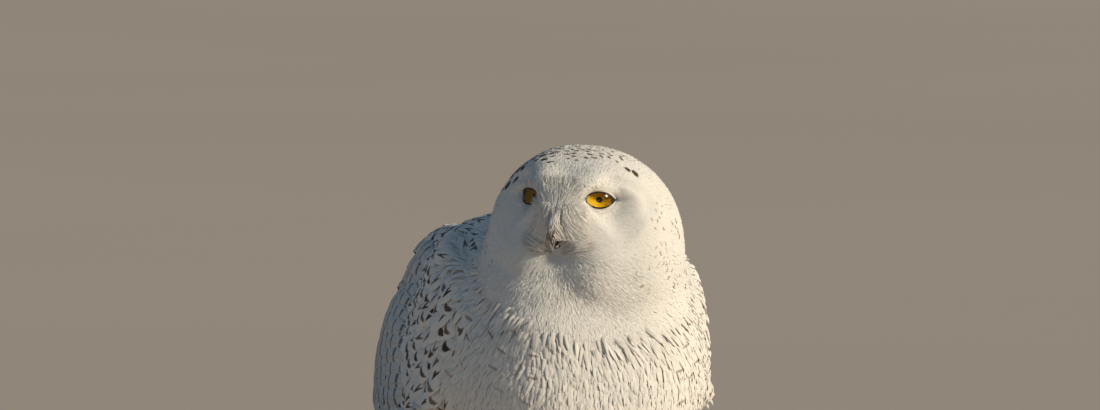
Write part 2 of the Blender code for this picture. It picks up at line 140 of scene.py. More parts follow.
@dataclass(frozen=True)
class Axes:
    """A place with three axes of its own."""

    centre: Array
    side: Array
    ahead: Array
    up: Array

    def local(self, points: Array) -> Array:
        """Returns points of the row frame as (side, ahead, up)."""
        rel = points - self.centre
        return np.stack([rel @ self.side, rel @ self.ahead, rel @ self.up], -1)

    def turn(self, local: Array) -> Array:
        """Returns directions given as (side, ahead, up) in the row frame."""
        side, ahead, up = (local[..., i : i + 1] for i in range(3))
        return side * self.side + ahead * self.ahead + up * self.up

    def world(self, local: Array) -> Array:
        """Returns points given as (side, ahead, up) in the row frame."""
        return self.centre + self.turn(np.asarray(local, float))


def head_axes() -> Axes:
    """Returns the head's axes, with side to the owl's left, placed by the two eye nodes."""
    level = np.array([math.cos(HEAD_YAW), -math.sin(HEAD_YAW), 0.0])
    ahead = np.array([-math.sin(HEAD_YAW), -math.cos(HEAD_YAW), 0.0])
    side = level * math.cos(HEAD_ROLL) - UP * math.sin(HEAD_ROLL)
    up = level * math.sin(HEAD_ROLL) + UP * math.cos(HEAD_ROLL)
    corners = [np.array(c) for n in ("eye_left", "eye_right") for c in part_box(n)]
    centre = np.mean(corners, 0) - EYE_PLACE[1] * ahead - EYE_PLACE[2] * up
    return Axes(centre, side, ahead, up)


def eye_axes(head: Axes, sign: int) -> Axes:
    """Returns an eye's axes: side towards its outer corner, ahead out of the eye.

    Args:
        head: The head's axes.
        sign: 1 for the owl's left eye, -1 for the right.
    """
    centre = head.world((EYE_PLACE + EYE_SHIFT[sign]) * np.array([sign, 1, 1]))
    ahead = sign * math.sin(EYE_TURN) * head.side + math.cos(EYE_TURN) * head.ahead
    side = sign * math.cos(EYE_TURN) * head.side - math.sin(EYE_TURN) * head.ahead
    return Axes(centre, side, ahead, head.up)


HEAD = head_axes()
EYES = {"left": eye_axes(HEAD, 1), "right": eye_axes(HEAD, -1)}


# ------------------------ blender steps


def only(obj: Object) -> None:
    """Leaves one object selected and active."""
    for other in bpy.context.view_layer.objects:
        other.select_set(False)
    obj.select_set(True)
    bpy.context.view_layer.objects.active = obj


def apply_modifier(obj: Object, kind: str, **settings: Any) -> None:
    """Adds a modifier with these settings and applies it."""
    only(obj)
    modifier = obj.modifiers.new(kind.lower(), kind)
    for key, value in settings.items():
        setattr(modifier, key, value)
    bpy.ops.object.modifier_apply(modifier=modifier.name)


def placed(name: str, data: bpy.types.ID) -> Object:
    """Returns a new object in the scene that holds a mesh, lamp or camera."""
    obj = bpy.data.objects.new(name, data)
    bpy.context.scene.collection.objects.link(obj)
    return obj


def add_vectors(mesh: bpy.types.Mesh, key: str, values: Array) -> None:
    """Gives a mesh a vector attribute on its vertices."""
    layer = mesh.attributes.new(key, "FLOAT_VECTOR", "POINT")
    layer.data.foreach_set("vector", values.astype(np.float32).ravel())


def node_faces(nodes: Iterable[str], first: int = 0) -> tuple[list[Vector], list[list[int]]]:
    """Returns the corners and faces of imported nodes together.

    Args:
        nodes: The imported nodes' names.
        first: The number of the first corner.
    """
    corners: list[Vector] = []
    faces: list[list[int]] = []
    for node in nodes:
        mesh = frame["nodes"][node].data
        start = first + len(corners)
        corners += [v.co.copy() for v in mesh.vertices]
        faces += [[start + i for i in p.vertices] for p in mesh.polygons]
    return corners, faces


def merged_copy(node: str, name: str, swell: float = 0.0) -> Object:
    """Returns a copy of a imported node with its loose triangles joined.

    Args:
        node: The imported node's name.
        name: The new object's name.
        swell: How far the copy grows along its normals.
    """
    shape = bmesh.new()
    shape.from_mesh(frame["nodes"][node].data)
    bmesh.ops.remove_doubles(shape, verts=shape.verts, dist=NODE_GAP)
    shape.normal_update()
    for vertex in shape.verts:
        vertex.co += vertex.normal * swell
    mesh = bpy.data.meshes.new(name)
    shape.to_mesh(mesh)
    shape.free()
    return placed(name, mesh)


def piece_from_arrays(
    name: str,
    points: Array,
    faces: Sequence[Array],
    vectors: Optional[dict[str, Array]] = None,
    uv: Optional[Array] = None,
    shading: Optional[Array] = None,
) -> Object:
    """Returns a new piece built from arrays.

    Args:
        name: The piece's name.
        points: Its vertices, (n, 3).
        faces: Arrays of faces, each with one number of corners.
        vectors: Vector attributes on the vertices, by name.
        uv: The place of each vertex on the map used for baking.
        shading: A normal for each corner of the faces, or None for the mesh's own.
    """
    counts = np.concatenate([np.full(len(f), f.shape[1], np.int32) for f in faces])
    corners = np.concatenate([f.ravel() for f in faces]).astype(np.int32)
    mesh = bpy.data.meshes.new(name)
    mesh.vertices.add(len(points))
    mesh.vertices.foreach_set("co", points.astype(np.float32).ravel())
    mesh.loops.add(len(corners))
    mesh.loops.foreach_set("vertex_index", corners)
    mesh.polygons.add(len(counts))
    starts = np.concatenate([[0], np.cumsum(counts)[:-1]]).astype(np.int32)
    mesh.polygons.foreach_set("loop_start", starts)
    mesh.update(calc_edges=True)
    for key, values in (vectors or {}).items():
        add_vectors(mesh, key, values)
    if uv is not None:
        layer = mesh.uv_layers.new(name=BAKE_MAP)
        layer.data.foreach_set("uv", uv[corners].astype(np.float32).ravel())
    mesh.shade_smooth()
    if shading is not None:
        mesh.normals_split_custom_set(shading.astype(np.float32))
    return placed(name, mesh)


def finish_piece(obj: Object, material: Material, nodes: Iterable[str] = ()) -> Object:
    """Dresses a piece and ties it to the frame.

    Args:
        obj: The piece.
        material: Its finish.
        nodes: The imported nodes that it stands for.
    """
    if not obj.data.materials:
        obj.data.materials.append(material)
    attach(obj, BODY)
    if nodes:
        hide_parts(*nodes)
    faces = sum(len(p.vertices) - 2 for p in obj.data.polygons)
    log.info("%s: %d triangles", obj.name, faces)
    return obj


# ------------------------ shader graph


class Value:
    """A socket that carries a number or a vector, with the usual operators."""

    def __init__(self, graph: "Graph", socket: bpy.types.NodeSocket) -> None:
        """Wraps a socket of a graph."""
        self.graph = graph
        self.socket = socket

    def _maths(self, operation: str, a: Any, b: Any = 0.0) -> "Value":
        """Returns a Math node's result."""
        node = self.graph.node("ShaderNodeMath", {"operation": operation}, {0: a, 1: b})
        return Value(self.graph, node.outputs[0])

    def __add__(self, other: Any) -> "Value":
        """Returns self + other."""
        return self._maths("ADD", self, other)

    __radd__ = __add__

    def __sub__(self, other: Any) -> "Value":
        """Returns self - other."""
        return self._maths("SUBTRACT", self, other)

    def __rsub__(self, other: Any) -> "Value":
        """Returns other - self."""
        return self._maths("SUBTRACT", other, self)

    def __mul__(self, other: Any) -> "Value":
        """Returns self * other."""
        return self._maths("MULTIPLY", self, other)

    __rmul__ = __mul__

    def __truediv__(self, other: Any) -> "Value":
        """Returns self / other."""
        return self._maths("DIVIDE", self, other)

    def __rtruediv__(self, other: Any) -> "Value":
        """Returns other / self."""
        return self._maths("DIVIDE", other, self)

    def least(self, other: Any) -> "Value":
        """Returns the lesser of self and other."""
        return self._maths("MINIMUM", self, other)

    def most(self, other: Any) -> "Value":
        """Returns the greater of self and other."""
        return self._maths("MAXIMUM", self, other)

    def held(self) -> "Value":
        """Returns the number held between 0 and 1."""
        return self.least(1.0).most(0.0)

    def size(self) -> "Value":
        """Returns the number without its sign."""
        return self._maths("ABSOLUTE", self)

    def wave(self) -> "Value":
        """Returns the sine."""
        return self._maths("SINE", self)

    def fraction(self) -> "Value":
        """Returns the part after the decimal point."""
        return self._maths("FRACT", self)

    def step(self, low: float, high: float) -> "Value":
        """Returns a smooth step from 0 at low to 1 at high."""
        settings = {"interpolation_type": "SMOOTHSTEP"}
        inputs = {"Value": self, "From Min": low, "From Max": high, "To Min": 0.0, "To Max": 1.0}
        if low > high:
            inputs.update({"From Min": high, "From Max": low, "To Min": 1.0, "To Max": 0.0})
        node = self.graph.node("ShaderNodeMapRange", settings, inputs)
        return Value(self.graph, node.outputs["Result"])


class Graph:
    """A material's nodes, built from expressions on values."""

    def __init__(self, name: str) -> None:
        """Starts a material with an empty tree and a Principled shader."""
        self.material = bpy.data.materials.new(name)
        self.material.use_nodes = True
        self.tree = self.material.node_tree
        self.tree.nodes.clear()
        self.shader = self.node("ShaderNodeBsdfPrincipled")
        surface = {"Surface": self.out(self.shader)}
        self.output = self.node("ShaderNodeOutputMaterial", None, surface)

    def node(
        self, kind: str, settings: Optional[dict] = None, inputs: Optional[dict] = None
    ) -> bpy.types.Node:
        """Returns a new node.

        Args:
            kind: The node's type.
            settings: Its settings.
            inputs: Numbers, or values to link, by socket name or index.
        """
        made = self.tree.nodes.new(kind)
        for key, value in (settings or {}).items():
            setattr(made, key, value)
        for key, value in (inputs or {}).items():
            self.feed(made.inputs[key], value)
        return made

    def feed(self, socket: bpy.types.NodeSocket, value: Any) -> None:
        """Sets a socket to a number or colour, or links a value to it."""
        if isinstance(value, Value):
            self.tree.links.new(value.socket, socket)
        elif isinstance(value, bpy.types.NodeSocket):
            self.tree.links.new(value, socket)
        elif socket.type == "RGBA" and len(value) == 3:
            socket.default_value = (*value, 1.0)
        else:
            socket.default_value = value

    def out(self, node: bpy.types.Node, name: Any = 0) -> Value:
        """Returns one of a node's outputs as a value."""
        return Value(self, node.outputs[name])

    def attribute(self, name: str) -> tuple[Value, Value, Value]:
        """Returns a vector attribute's three parts."""
        whole = self.out(self.node("ShaderNodeAttribute", {"attribute_name": name}), "Vector")
        parts = self.node("ShaderNodeSeparateXYZ", None, {0: whole})
        return self.out(parts, 0), self.out(parts, 1), self.out(parts, 2)

    def places(self) -> Value:
        """Returns the object coordinates."""
        return self.out(self.node("ShaderNodeTexCoord"), "Object")

    def joined(self, x: Any, y: Any, z: Any) -> Value:
        """Returns a vector with these parts."""
        return self.out(self.node("ShaderNodeCombineXYZ", None, {0: x, 1: y, 2: z}))

    def stretched(self, parts: Sequence[Value], scales: Sequence[float]) -> Value:
        """Returns a vector of three parts, each times its own scale."""
        return self.joined(*(part * scale for part, scale in zip(parts, scales)))

    def length(self, vector: Value) -> Value:
        """Returns a vector's length."""
        node = self.node("ShaderNodeVectorMath", {"operation": "LENGTH"}, {0: vector})
        return self.out(node, "Value")

    def noise(self, at: Value, scale: float, detail: float = 2.0) -> Value:
        """Returns a noise from 0 to 1."""
        inputs = {"Vector": at, "Scale": scale, "Detail": detail}
        return self.out(self.node("ShaderNodeTexNoise", None, inputs), 0)

    def mixed(self, share: Any, first: Any, second: Any) -> Value:
        """Returns a colour between first and second."""
        settings = {"data_type": "RGBA"}
        return self.out(self.node("ShaderNodeMix", settings, {0: share, 6: first, 7: second}), 2)

    def raised(self, height: Value, distance: float, strength: float) -> Value:
        """Returns a normal bent by a height."""
        inputs = {"Height": height, "Distance": distance, "Strength": strength}
        return self.out(self.node("ShaderNodeBump", None, inputs))

    def dress(self, **sockets: Any) -> Material:
        """Feeds the shader's sockets, with _ for spaces, and returns the material."""
        for key, value in sockets.items():
            self.feed(self.shader.inputs[key.replace("_", " ")], value)
        return self.material


# ------------------------ finishes


@dataclass(frozen=True)
class Plumage:
    """White plumage with dark marks and painted shade towards the feathers' roots, for the skin and
    all coat pieces.
    """

    name: str = "white_plumage"
    white: Colour = (0.88, 0.86, 0.815)
    # deep is the darker white: painted shade towards each feather's root, and the darker end of the
    # random tone.
    deep: Colour = (0.74, 0.705, 0.655)
    mark: Colour = (0.030, 0.022, 0.018)
    mark_edge: Colour = (0.33, 0.18, 0.085)
    ragged_scale: float = 900.0
    raggedness: float = 0.7
    dark_rim: Pair = (1.12, 0.80)
    stain_rim: Pair = (1.45, 0.90)
    stain: float = 0.85
    patch_scale: float = 38.0
    patchiness: float = 0.30
    own_tone: float = 0.34
    shaded_root: Pair = (0.0, 0.75)
    barb_waves: Pair = (40.0, 22.0)
    barb_height: float = 0.10
    strands: Colour = (5.0, 0.8, 60.0)
    strand_scale: float = 3.0
    relief: Pair = (0.0006, 0.25)

    def material(self) -> Material:
        """Returns the material, which reads the vector attributes vane and mark."""
        g = Graph(self.name)
        across, down, seed = g.attribute("vane")
        x, y, strength = g.attribute("mark")
        places = g.places()
        ragged = (g.noise(places, self.ragged_scale) - 0.5) * self.raggedness
        edge = g.length(g.joined(x, y, 0.0)) + ragged
        dark = edge.step(*self.dark_rim) * strength * strength
        tint = edge.step(*self.stain_rim) * strength * self.stain
        patches = (g.noise(places, self.patch_scale) - 0.5) * self.patchiness
        tone = patches + (seed - 0.5) * self.own_tone
        # Painted shade and random tone: darker towards the root, whiter towards the tip, with
        # random tone added on top.
        lit = (down.step(*self.shaded_root) + tone).held()
        white = g.mixed(lit, self.deep, self.white)
        stained = g.mixed(tint, white, self.mark_edge)
        colour = g.mixed(dark, stained, self.mark)
        waves_down, waves_across = self.barb_waves
        barb = (down * waves_down + across.size() * waves_across).wave()
        strand = g.noise(g.stretched((across, down, seed), self.strands), self.strand_scale)
        return g.dress(
            Base_Color=colour,
            Roughness=0.78,
            Normal=g.raised(strand + barb * self.barb_height, *self.relief),
            Specular_IOR_Level=0.25,
            Sheen_Weight=0.10,
            Sheen_Roughness=0.6,
        )


@dataclass(frozen=True)
class FlightFeather:
    """White feather webs with broken brown bars across, a shaft and fine barbs."""

    name: str = "barred_feathers"
    white: Colour = (0.85, 0.825, 0.78)
    deep: Colour = (0.62, 0.585, 0.54)
    bar: Colour = (0.060, 0.043, 0.034)
    shaft: Colour = (0.66, 0.60, 0.50)
    spacing: float = 0.021
    thickness: float = 0.105
    soft_rim: Pair = (1.25, 0.75)
    bow: float = 0.16
    wobble_scale: float = 240.0
    wobble: float = 0.22
    bar_wobble: float = 0.8
    web_rim: Pair = (0.90, 0.72)
    clear_tip: Pair = (0.006, 0.012)
    webs: Colour = (3.0, 9.0, 40.0)
    web_scale: float = 2.0
    web_tone: Pair = (0.7, 0.35)
    quill_rim: Pair = (0.075, 0.045)
    quill_tone: float = 0.8
    barb_waves: Pair = (5200.0, 60.0)
    barb_height: float = 0.5
    quill_height: float = 2.0
    relief: Pair = (0.0003, 0.35)

    def material(self) -> Material:
        """Returns the material, which reads the vector attributes vane and reach."""
        g = Graph(self.name)
        across, down, seed = g.attribute("vane")
        metres, left, fade = g.attribute("reach")
        wobble = (g.noise(g.places(), self.wobble_scale, 3.0) - 0.5) * self.wobble
        bowed = metres / self.spacing + seed + across * across * self.bow
        phase = (bowed + wobble * self.bar_wobble).fraction() - 0.5
        thick, thin = (self.thickness * rim for rim in self.soft_rim)
        stripe = phase.size().step(thick, thin)
        inside = (across.size() + wobble).step(*self.web_rim)
        dark = stripe * inside * left.step(*self.clear_tip) * fade
        web = g.noise(g.stretched((across, down, seed), self.webs), self.web_scale)
        share, least = self.web_tone
        white = g.mixed((web * share + least).least(1.0), self.deep, self.white)
        barred = g.mixed(dark, white, self.bar)
        quill = across.size().step(*self.quill_rim)
        colour = g.mixed(quill * self.quill_tone, barred, self.shaft)
        waves_down, waves_across = self.barb_waves
        barb = (metres * waves_down + across.size() * waves_across).wave()
        height = barb * self.barb_height + quill * self.quill_height
        return g.dress(
            Base_Color=colour,
            Roughness=0.62,
            Normal=g.raised(height, *self.relief),
            Specular_IOR_Level=0.3,
            Sheen_Weight=0.08,
        )


@dataclass(frozen=True)
class Horn:
    """Black horn of bill and claws, glossy, with paler worn patches spread at random."""

    name: str
    dark: Colour = (0.012, 0.011, 0.012)
    worn: Colour = (0.075, 0.070, 0.068)
    grain: float = 700.0
    patch_scale: float = 90.0
    wear: Pair = (2.2, -0.25)
    roughness: Pair = (0.32, 0.22)
    relief: Pair = (0.0002, 0.25)

    def material(self) -> Material:
        """Returns the material."""
        g = Graph(self.name)
        places = g.places()
        fine = g.noise(places, self.grain, 4.0)
        worn, least = self.wear
        share = (fine * g.noise(places, self.patch_scale) * worn + least).held()
        smooth, change = self.roughness
        return g.dress(
            Base_Color=g.mixed(share, self.dark, self.worn),
            Roughness=fine * change + smooth,
            Normal=g.raised(fine, *self.relief),
            Coat_Weight=0.18,
            Coat_Roughness=0.22,
        )


@dataclass(frozen=True)
class Iris:
    """Golden iris: fine spokes, a dark ring at the rim, an ochre ring at the pupil, and painted
    light: darker upwards and towards the outer corner, lighter low on the inner side.
    """

    name: str = "golden_iris"
    gold: Colour = (0.60, 0.38, 0.001)
    amber: Colour = (0.46, 0.22, 0.001)
    ring: Colour = (0.020, 0.009, 0.003)
    spokes: Colour = (9.0, 9.0, 1.2)
    spoke_scale: float = 2.2
    spoke_tone: Pair = (0.9, -0.04)
    painted_shade_up: float = -0.42
    painted_shade_out: float = -0.34
    painted_shade_start: float = 0.3
    inner_rim: Pair = (0.10, 0.0)
    inner_tone: float = 0.55
    outer_rim: Pair = (0.90, 0.985)
    relief: Pair = (0.0003, 0.4)

    def material(self) -> Material:
        """Returns the material, which reads the vector attribute iris: angle parts and reach."""
        g = Graph(self.name)
        turn_x, turn_y, reach = g.attribute("iris")
        spokes = g.noise(g.stretched((turn_x, turn_y, reach), self.spokes), self.spoke_scale, 4.0)
        # Painted light and shade: darker upwards and outwards, lighter low and inwards, where the
        # lamp's light gathers through the cornea.
        shaded = (turn_y * self.painted_shade_up + turn_x * self.painted_shade_out) * (reach + self.painted_shade_start)
        share, least = self.spoke_tone
        colour = g.mixed((spokes * share + least + shaded).held(), self.amber, self.gold)
        colour = g.mixed(reach.step(*self.inner_rim) * self.inner_tone, colour, self.amber)
        colour = g.mixed(reach.step(*self.outer_rim), colour, self.ring)
        return g.dress(
            Base_Color=colour,
            Roughness=0.60,
            Normal=g.raised(spokes, *self.relief),
            Specular_IOR_Level=0.08,
        )


@dataclass(frozen=True)
class Plain:
    """A smooth dark or pale surface with a faint grain, for pupils, eye balls and lids."""

    name: str
    colour: Colour
    second: Colour
    roughness: float
    coat: float = 0.0
    grain: float = 900.0
    relief: Pair = (0.0001, 0.3)

    def material(self) -> Material:
        """Returns the material."""
        g = Graph(self.name)
        fine = g.noise(g.places(), self.grain, 3.0)
        return g.dress(
            Base_Color=g.mixed(fine, self.colour, self.second),
            Roughness=self.roughness,
            Normal=g.raised(fine, *self.relief),
            Coat_Weight=self.coat,
            Coat_Roughness=0.08,
        )


@dataclass(frozen=True)
class Cornea:
    """Clear, wet window of the eye, open to shadow rays so that light reaches the iris."""

    name: str = "clear_cornea"
    bend: float = 1.36
    haze: float = 0.16

    def material(self) -> Material:
        """Returns the material."""
        g = Graph(self.name)
        g.dress(
            Base_Color=(1.0, 1.0, 1.0), Roughness=self.haze, IOR=self.bend, Transmission_Weight=1.0
        )
        clear = g.out(g.node("ShaderNodeBsdfTransparent"))
        shadow = g.out(g.node("ShaderNodeLightPath"), "Is Shadow Ray")
        mix = g.node("ShaderNodeMixShader", None, {0: shadow, 1: g.out(g.shader), 2: clear})
        g.feed(g.output.inputs["Surface"], g.out(mix))
        return g.material


# ------------------------ the skin


class Part(Enum):
    """The regions of the skin, each with its own coat."""

    HEAD = 0
    NECK = 1
    TRUNK = 2
    TAIL = 3
    COVERTS = 4
    SECONDARIES = 5
    PRIMARIES = 6
    LEG = 7
    FOOT = 8


def part_of(node: str) -> Optional[Part]:
    """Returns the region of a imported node, or None for eyes, bill and claws."""
    for part in Part:
        if node.startswith("wing") and node.endswith(part.name.lower()):
            return part
        if node.split("_")[0] == part.name.lower():
            return part
    return None


FLESH = {name: part_of(name) for name in frame["nodes"] if part_of(name) is not None}

# The facial disc: its middle's half width and height, its reach past that, and how square it is.
DISC_MIDDLE = (0.024, 0.022)
DISC_REACH = (0.033, 0.027)
DISC_POWER = 2.6


def disc_edge(local: Array) -> Array:
    """Returns how far out a point of the face is: 1 on the edge of its facial disc.

    Args:
        local: Points in the head's axes.
    """
    across = np.maximum(np.abs(local[..., 0]) - DISC_MIDDLE[0], 0.0) / DISC_REACH[0]
    upward = np.abs(local[..., 2] - DISC_MIDDLE[1]) / DISC_REACH[1]
    return (across**DISC_POWER + upward**DISC_POWER) ** (1 / DISC_POWER)


@dataclass(frozen=True)
class Aperture:
    """The opening between the lids, a pointed lens seen along the eye's axis."""

    half_width: float = 0.0115
    half_height: float = 0.0056
    point: float = 2.2
    dome_radius: float = 0.0120
    dome_centre: float = 0.0034
    ball_radius: float = 0.0140
    ball_share: float = 0.93

    def outward(self, x: Array, y: Array) -> Array:
        """Returns about how far a point lies outside the opening, in metres."""
        rel = np.abs(x) / self.half_width
        level = np.abs(y) / self.half_height + rel**self.point
        slope_x = self.point * rel ** (self.point - 1) / self.half_width
        slope = np.sqrt(slope_x**2 + 1 / self.half_height**2)
        return (level - 1.0) / slope

    def edge(self, count: int) -> tuple[Array, Array]:
        """Returns points round the opening and their outward directions, in (x, y)."""
        angle = np.linspace(0, 2 * math.pi, count, endpoint=False)
        x = self.half_width * np.cos(angle)
        rel = np.abs(np.cos(angle))
        y = np.sign(np.sin(angle)) * self.half_height * (1 - rel**self.point)
        out_x = np.cos(angle) * rel ** (self.point - 1) * self.point / self.half_width
        out_y = np.sin(angle) / self.half_height
        return np.stack([x, y], -1), unit(np.stack([out_x, out_y], -1))

    def front(self, x: Array, y: Array) -> Array:
        """Returns how far ahead of the eye's centre the wet surface lies."""
        across = np.minimum(x**2 + y**2, (self.ball_share * self.ball_radius) ** 2)
        ball = np.sqrt(self.ball_radius**2 - across)
        dome = np.sqrt(np.maximum(self.dome_radius**2 - across, 0.0)) + self.dome_centre
        return np.maximum(ball, dome)


APERTURE = Aperture()

# How far in the plumage goes beside the back, and how full it is over the shoulder.
TUCK_DEPTH = 0.0070
SHOULDER_RISE = 0.0015


def tuck(points: Array) -> Array:
    """Returns how much further in the plumage lies where the wing slopes down from the back."""
    x, y, z = points.T
    high = ease(0.057, 0.082, np.abs(x)) * ease(0.105, 0.150, z)
    full = SHOULDER_RISE * bump(np.abs(x) - 0.050, 0.014) * ease(0.110, 0.140, z)
    return (TUCK_DEPTH * high - full) * ease(-0.125, -0.060, y) * ease(0.150, 0.060, y)


# The face's soft rises in the head's axes: height, then middle and width sideways and upwards.
FACE_RISES = {
    "bridge": (0.0008, (0.0, 0.0085), (0.026, 0.020)),
    "brow": (0.0016, (0.017, 0.010), (0.047, 0.008)),
    "cheek": (0.0030, (0.036, 0.015), (-0.004, 0.012)),
    "dome": (0.0008, (0.024, 0.015), (0.056, 0.014)),
}
# The rings round the facial disc: height, then middle and width by how far out they are.
DISC_RINGS = {"crease": (-0.0024, 1.0, 0.075), "ruff": (0.0007, 1.20, 0.12)}
CROWN_RISE = 0.0012

# The least share of a region that bears roots, and factors that number the cells of a grid.
LEAST_SHARE = 0.02
CELL_KEYS = np.array([1, 100003, 10000600009])


@dataclass
class Skin:
    """One closed skin under the whole coat, in place of all nodes of flesh and feather."""

    voxel: float = 0.0023
    swell: float = 0.00045
    smoothing: int = 7
    depth: dict[Part, float] = field(
        default_factory=lambda: {
            Part.HEAD: 0.0024,
            Part.NECK: 0.0048,
            Part.TRUNK: 0.0046,
            Part.TAIL: 0.0018,
            Part.COVERTS: 0.0034,
            Part.SECONDARIES: 0.0026,
            Part.PRIMARIES: 0.0020,
            Part.LEG: 0.0020,
            Part.FOOT: 0.0012,
        }
    )
    face_depth: float = 0.0014
    depth_blend: int = 22
    socket_radius: float = 0.034
    socket_inner: float = 0.0050
    socket_outer: float = 0.0165
    socket_curve: float = 0.50
    shelf: float = 0.0006
    covered_gap: float = 0.0010
    covered_depth: float = 0.0060
    floor_gap: float = 0.0006

    def build(self) -> Object:
        """Returns the skin, remeshed as one surface and set back by the coat's depth."""
        parts = [merged_copy(n, "skin_part", self.swell) for n in [*FLESH, "eye_left", "eye_right"]]
        for obj in bpy.context.view_layer.objects:
            obj.select_set(obj in parts)
        bpy.context.view_layer.objects.active = parts[0]
        bpy.ops.object.join()
        self.obj = bpy.context.view_layer.objects.active
        self.obj.name = "skin"
        self.obj.data.name = "skin"
        apply_modifier(self.obj, "REMESH", mode="VOXEL", voxel_size=self.voxel)
        apply_modifier(self.obj, "SMOOTH", factor=0.5, iterations=self.smoothing)
        self._label()
        self._set_back()
        apply_modifier(self.obj, "SMOOTH", factor=0.5, iterations=2)
        self._sculpt_face()
        self._open_sockets()
        self._rest_on_floor()
        self._unwrap()
        self._read()
        return self.obj

    def _points(self) -> tuple[Array, Array]:
        """Returns the skin's vertices and normals."""
        mesh = self.obj.data
        points = np.empty(len(mesh.vertices) * 3, np.float32)
        mesh.vertices.foreach_get("co", points)
        normals = np.empty_like(points)
        mesh.vertices.foreach_get("normal", normals)
        return points.reshape(-1, 3).astype(float), normals.reshape(-1, 3).astype(float)

    def _move(self, points: Array) -> None:
        """Writes the skin's vertices."""
        self.obj.data.vertices.foreach_set("co", points.astype(np.float32).ravel())
        self.obj.data.update()

    def _label(self) -> None:
        """Finds the region that each vertex belongs to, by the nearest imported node."""
        tree = BVHTree.FromPolygons(*node_faces(FLESH))
        counts = [len(frame["nodes"][name].data.polygons) for name in FLESH]
        labels = np.repeat([part.value for part in FLESH.values()], counts)
        points, _ = self._points()
        self.labels = np.array([labels[tree.find_nearest(Vector(p))[2]] for p in points])

    def _set_back(self) -> None:
        """Moves the skin in by the coat's depth, which changes gently between regions."""
        points, normals = self._points()
        depth = np.array([self.depth[p] for p in Part])[self.labels]
        local = HEAD.local(points)
        face = ease(1.25, 0.85, disc_edge(local)) * ease(0.005, 0.02, local[:, 1])
        on_head = self.labels == Part.HEAD.value
        depth = np.where(on_head, depth + (self.face_depth - depth) * face, depth)
        depth = self._spread(depth, self.depth_blend) + tuck(points)
        self._move(points - normals * depth[:, None])

    def _spread(self, values: Array, times: int) -> Array:
        """Returns values averaged with their neighbours along the edges, several times."""
        mesh = self.obj.data
        edges = np.empty(len(mesh.edges) * 2, np.int32)
        mesh.edges.foreach_get("vertices", edges)
        a, b = edges.reshape(-1, 2).T
        count = np.bincount(a, minlength=len(values)) + np.bincount(b, minlength=len(values))
        for _ in range(times):
            near = np.bincount(a, values[b], len(values)) + np.bincount(b, values[a], len(values))
            values = 0.5 * values + 0.5 * near / np.maximum(count, 1)
        return values

    def _sculpt_face(self) -> None:
        """Raises brow, bridge, cheeks and crown and draws in the crease round the disc."""
        points, normals = self._points()
        local = HEAD.local(points)
        side, ahead, up = local.T
        apart = np.abs(side)
        on_head = self.labels == Part.HEAD.value
        outer = ease(0.020, 0.036, apart) * ease(0.018, 0.034, up)
        shift = np.zeros(len(points))
        for height, middle, width in DISC_RINGS.values():
            shift += height * bump(disc_edge(local) - middle, width) * outer
        for height, (out, out_width), (high, high_width) in FACE_RISES.values():
            shift += height * bump(apart - out, out_width) * bump(up - high, high_width)
        crown = CROWN_RISE * bump(side + 0.026, 0.016) * ease(0.048, 0.060, up) * on_head
        shift = shift * (ease(0.0, 0.02, ahead) * on_head) + crown
        self._move(points + normals * shift[:, None])

    def _open_sockets(self) -> None:
        """Dishes the face round each eye and sinks what would cover the ball."""
        points, _ = self._points()
        for eye in EYES.values():
            x, z, y = eye.local(points).T
            gap = APERTURE.outward(x, y)
            around = (np.hypot(x, y) < self.socket_radius) & (z > 0.0)
            reach = self.socket_inner + self.socket_outer * ease(-0.7, 1.0, x / APERTURE.half_width)
            shelf = APERTURE.front(x, y) + self.shelf
            open_to = shelf + (z - shelf) * ease(0.0, 1.0, gap / reach) ** self.socket_curve
            target = np.where(gap < self.covered_gap, self.covered_depth, open_to)
            moved = points + eye.ahead * (target - z)[:, None]
            points = np.where(around[:, None], moved, points)
        self._move(points)

    def _rest_on_floor(self) -> None:
        """Keeps the skin just above the floor."""
        points, _ = self._points()
        points[:, 2] = np.maximum(points[:, 2], self.floor_gap)
        self._move(points)

    def _unwrap(self) -> None:
        """Gives the skin its map, unwrapped by its own bends."""
        only(self.obj)
        self.obj.data.shade_smooth()
        while self.obj.data.uv_layers:
            self.obj.data.uv_layers.remove(self.obj.data.uv_layers[0])
        self.obj.data.uv_layers.new(name=BAKE_MAP)
        bpy.ops.object.mode_set(mode="EDIT")
        bpy.ops.mesh.select_all(action="SELECT")
        bpy.ops.uv.smart_project(angle_limit=math.radians(70), island_margin=0.003)
        bpy.ops.object.mode_set(mode="OBJECT")

    def _read(self) -> None:
        """Reads the finished skin into arrays and a search tree."""
        mesh = self.obj.data
        self.points, self.normals = self._points()
        mesh.calc_loop_triangles()
        triangles = np.empty(len(mesh.loop_triangles) * 3, np.int32)
        mesh.loop_triangles.foreach_get("vertices", triangles)
        self.triangles = triangles.reshape(-1, 3)
        loops = np.empty(len(mesh.loop_triangles) * 3, np.int32)
        mesh.loop_triangles.foreach_get("loops", loops)
        uv = np.empty(len(mesh.loops) * 2, np.float32)
        mesh.uv_layers[BAKE_MAP].data.foreach_get("uv", uv)
        self.uv = uv.reshape(-1, 2)[loops].reshape(-1, 3, 2).astype(float)
        corners = self.points[self.triangles]
        sides = np.cross(corners[:, 1] - corners[:, 0], corners[:, 2] - corners[:, 0])
        self.areas = np.linalg.norm(sides, axis=1) / 2
        self.tree = BVHTree.FromPolygons(self.points.tolist(), self.triangles.tolist())

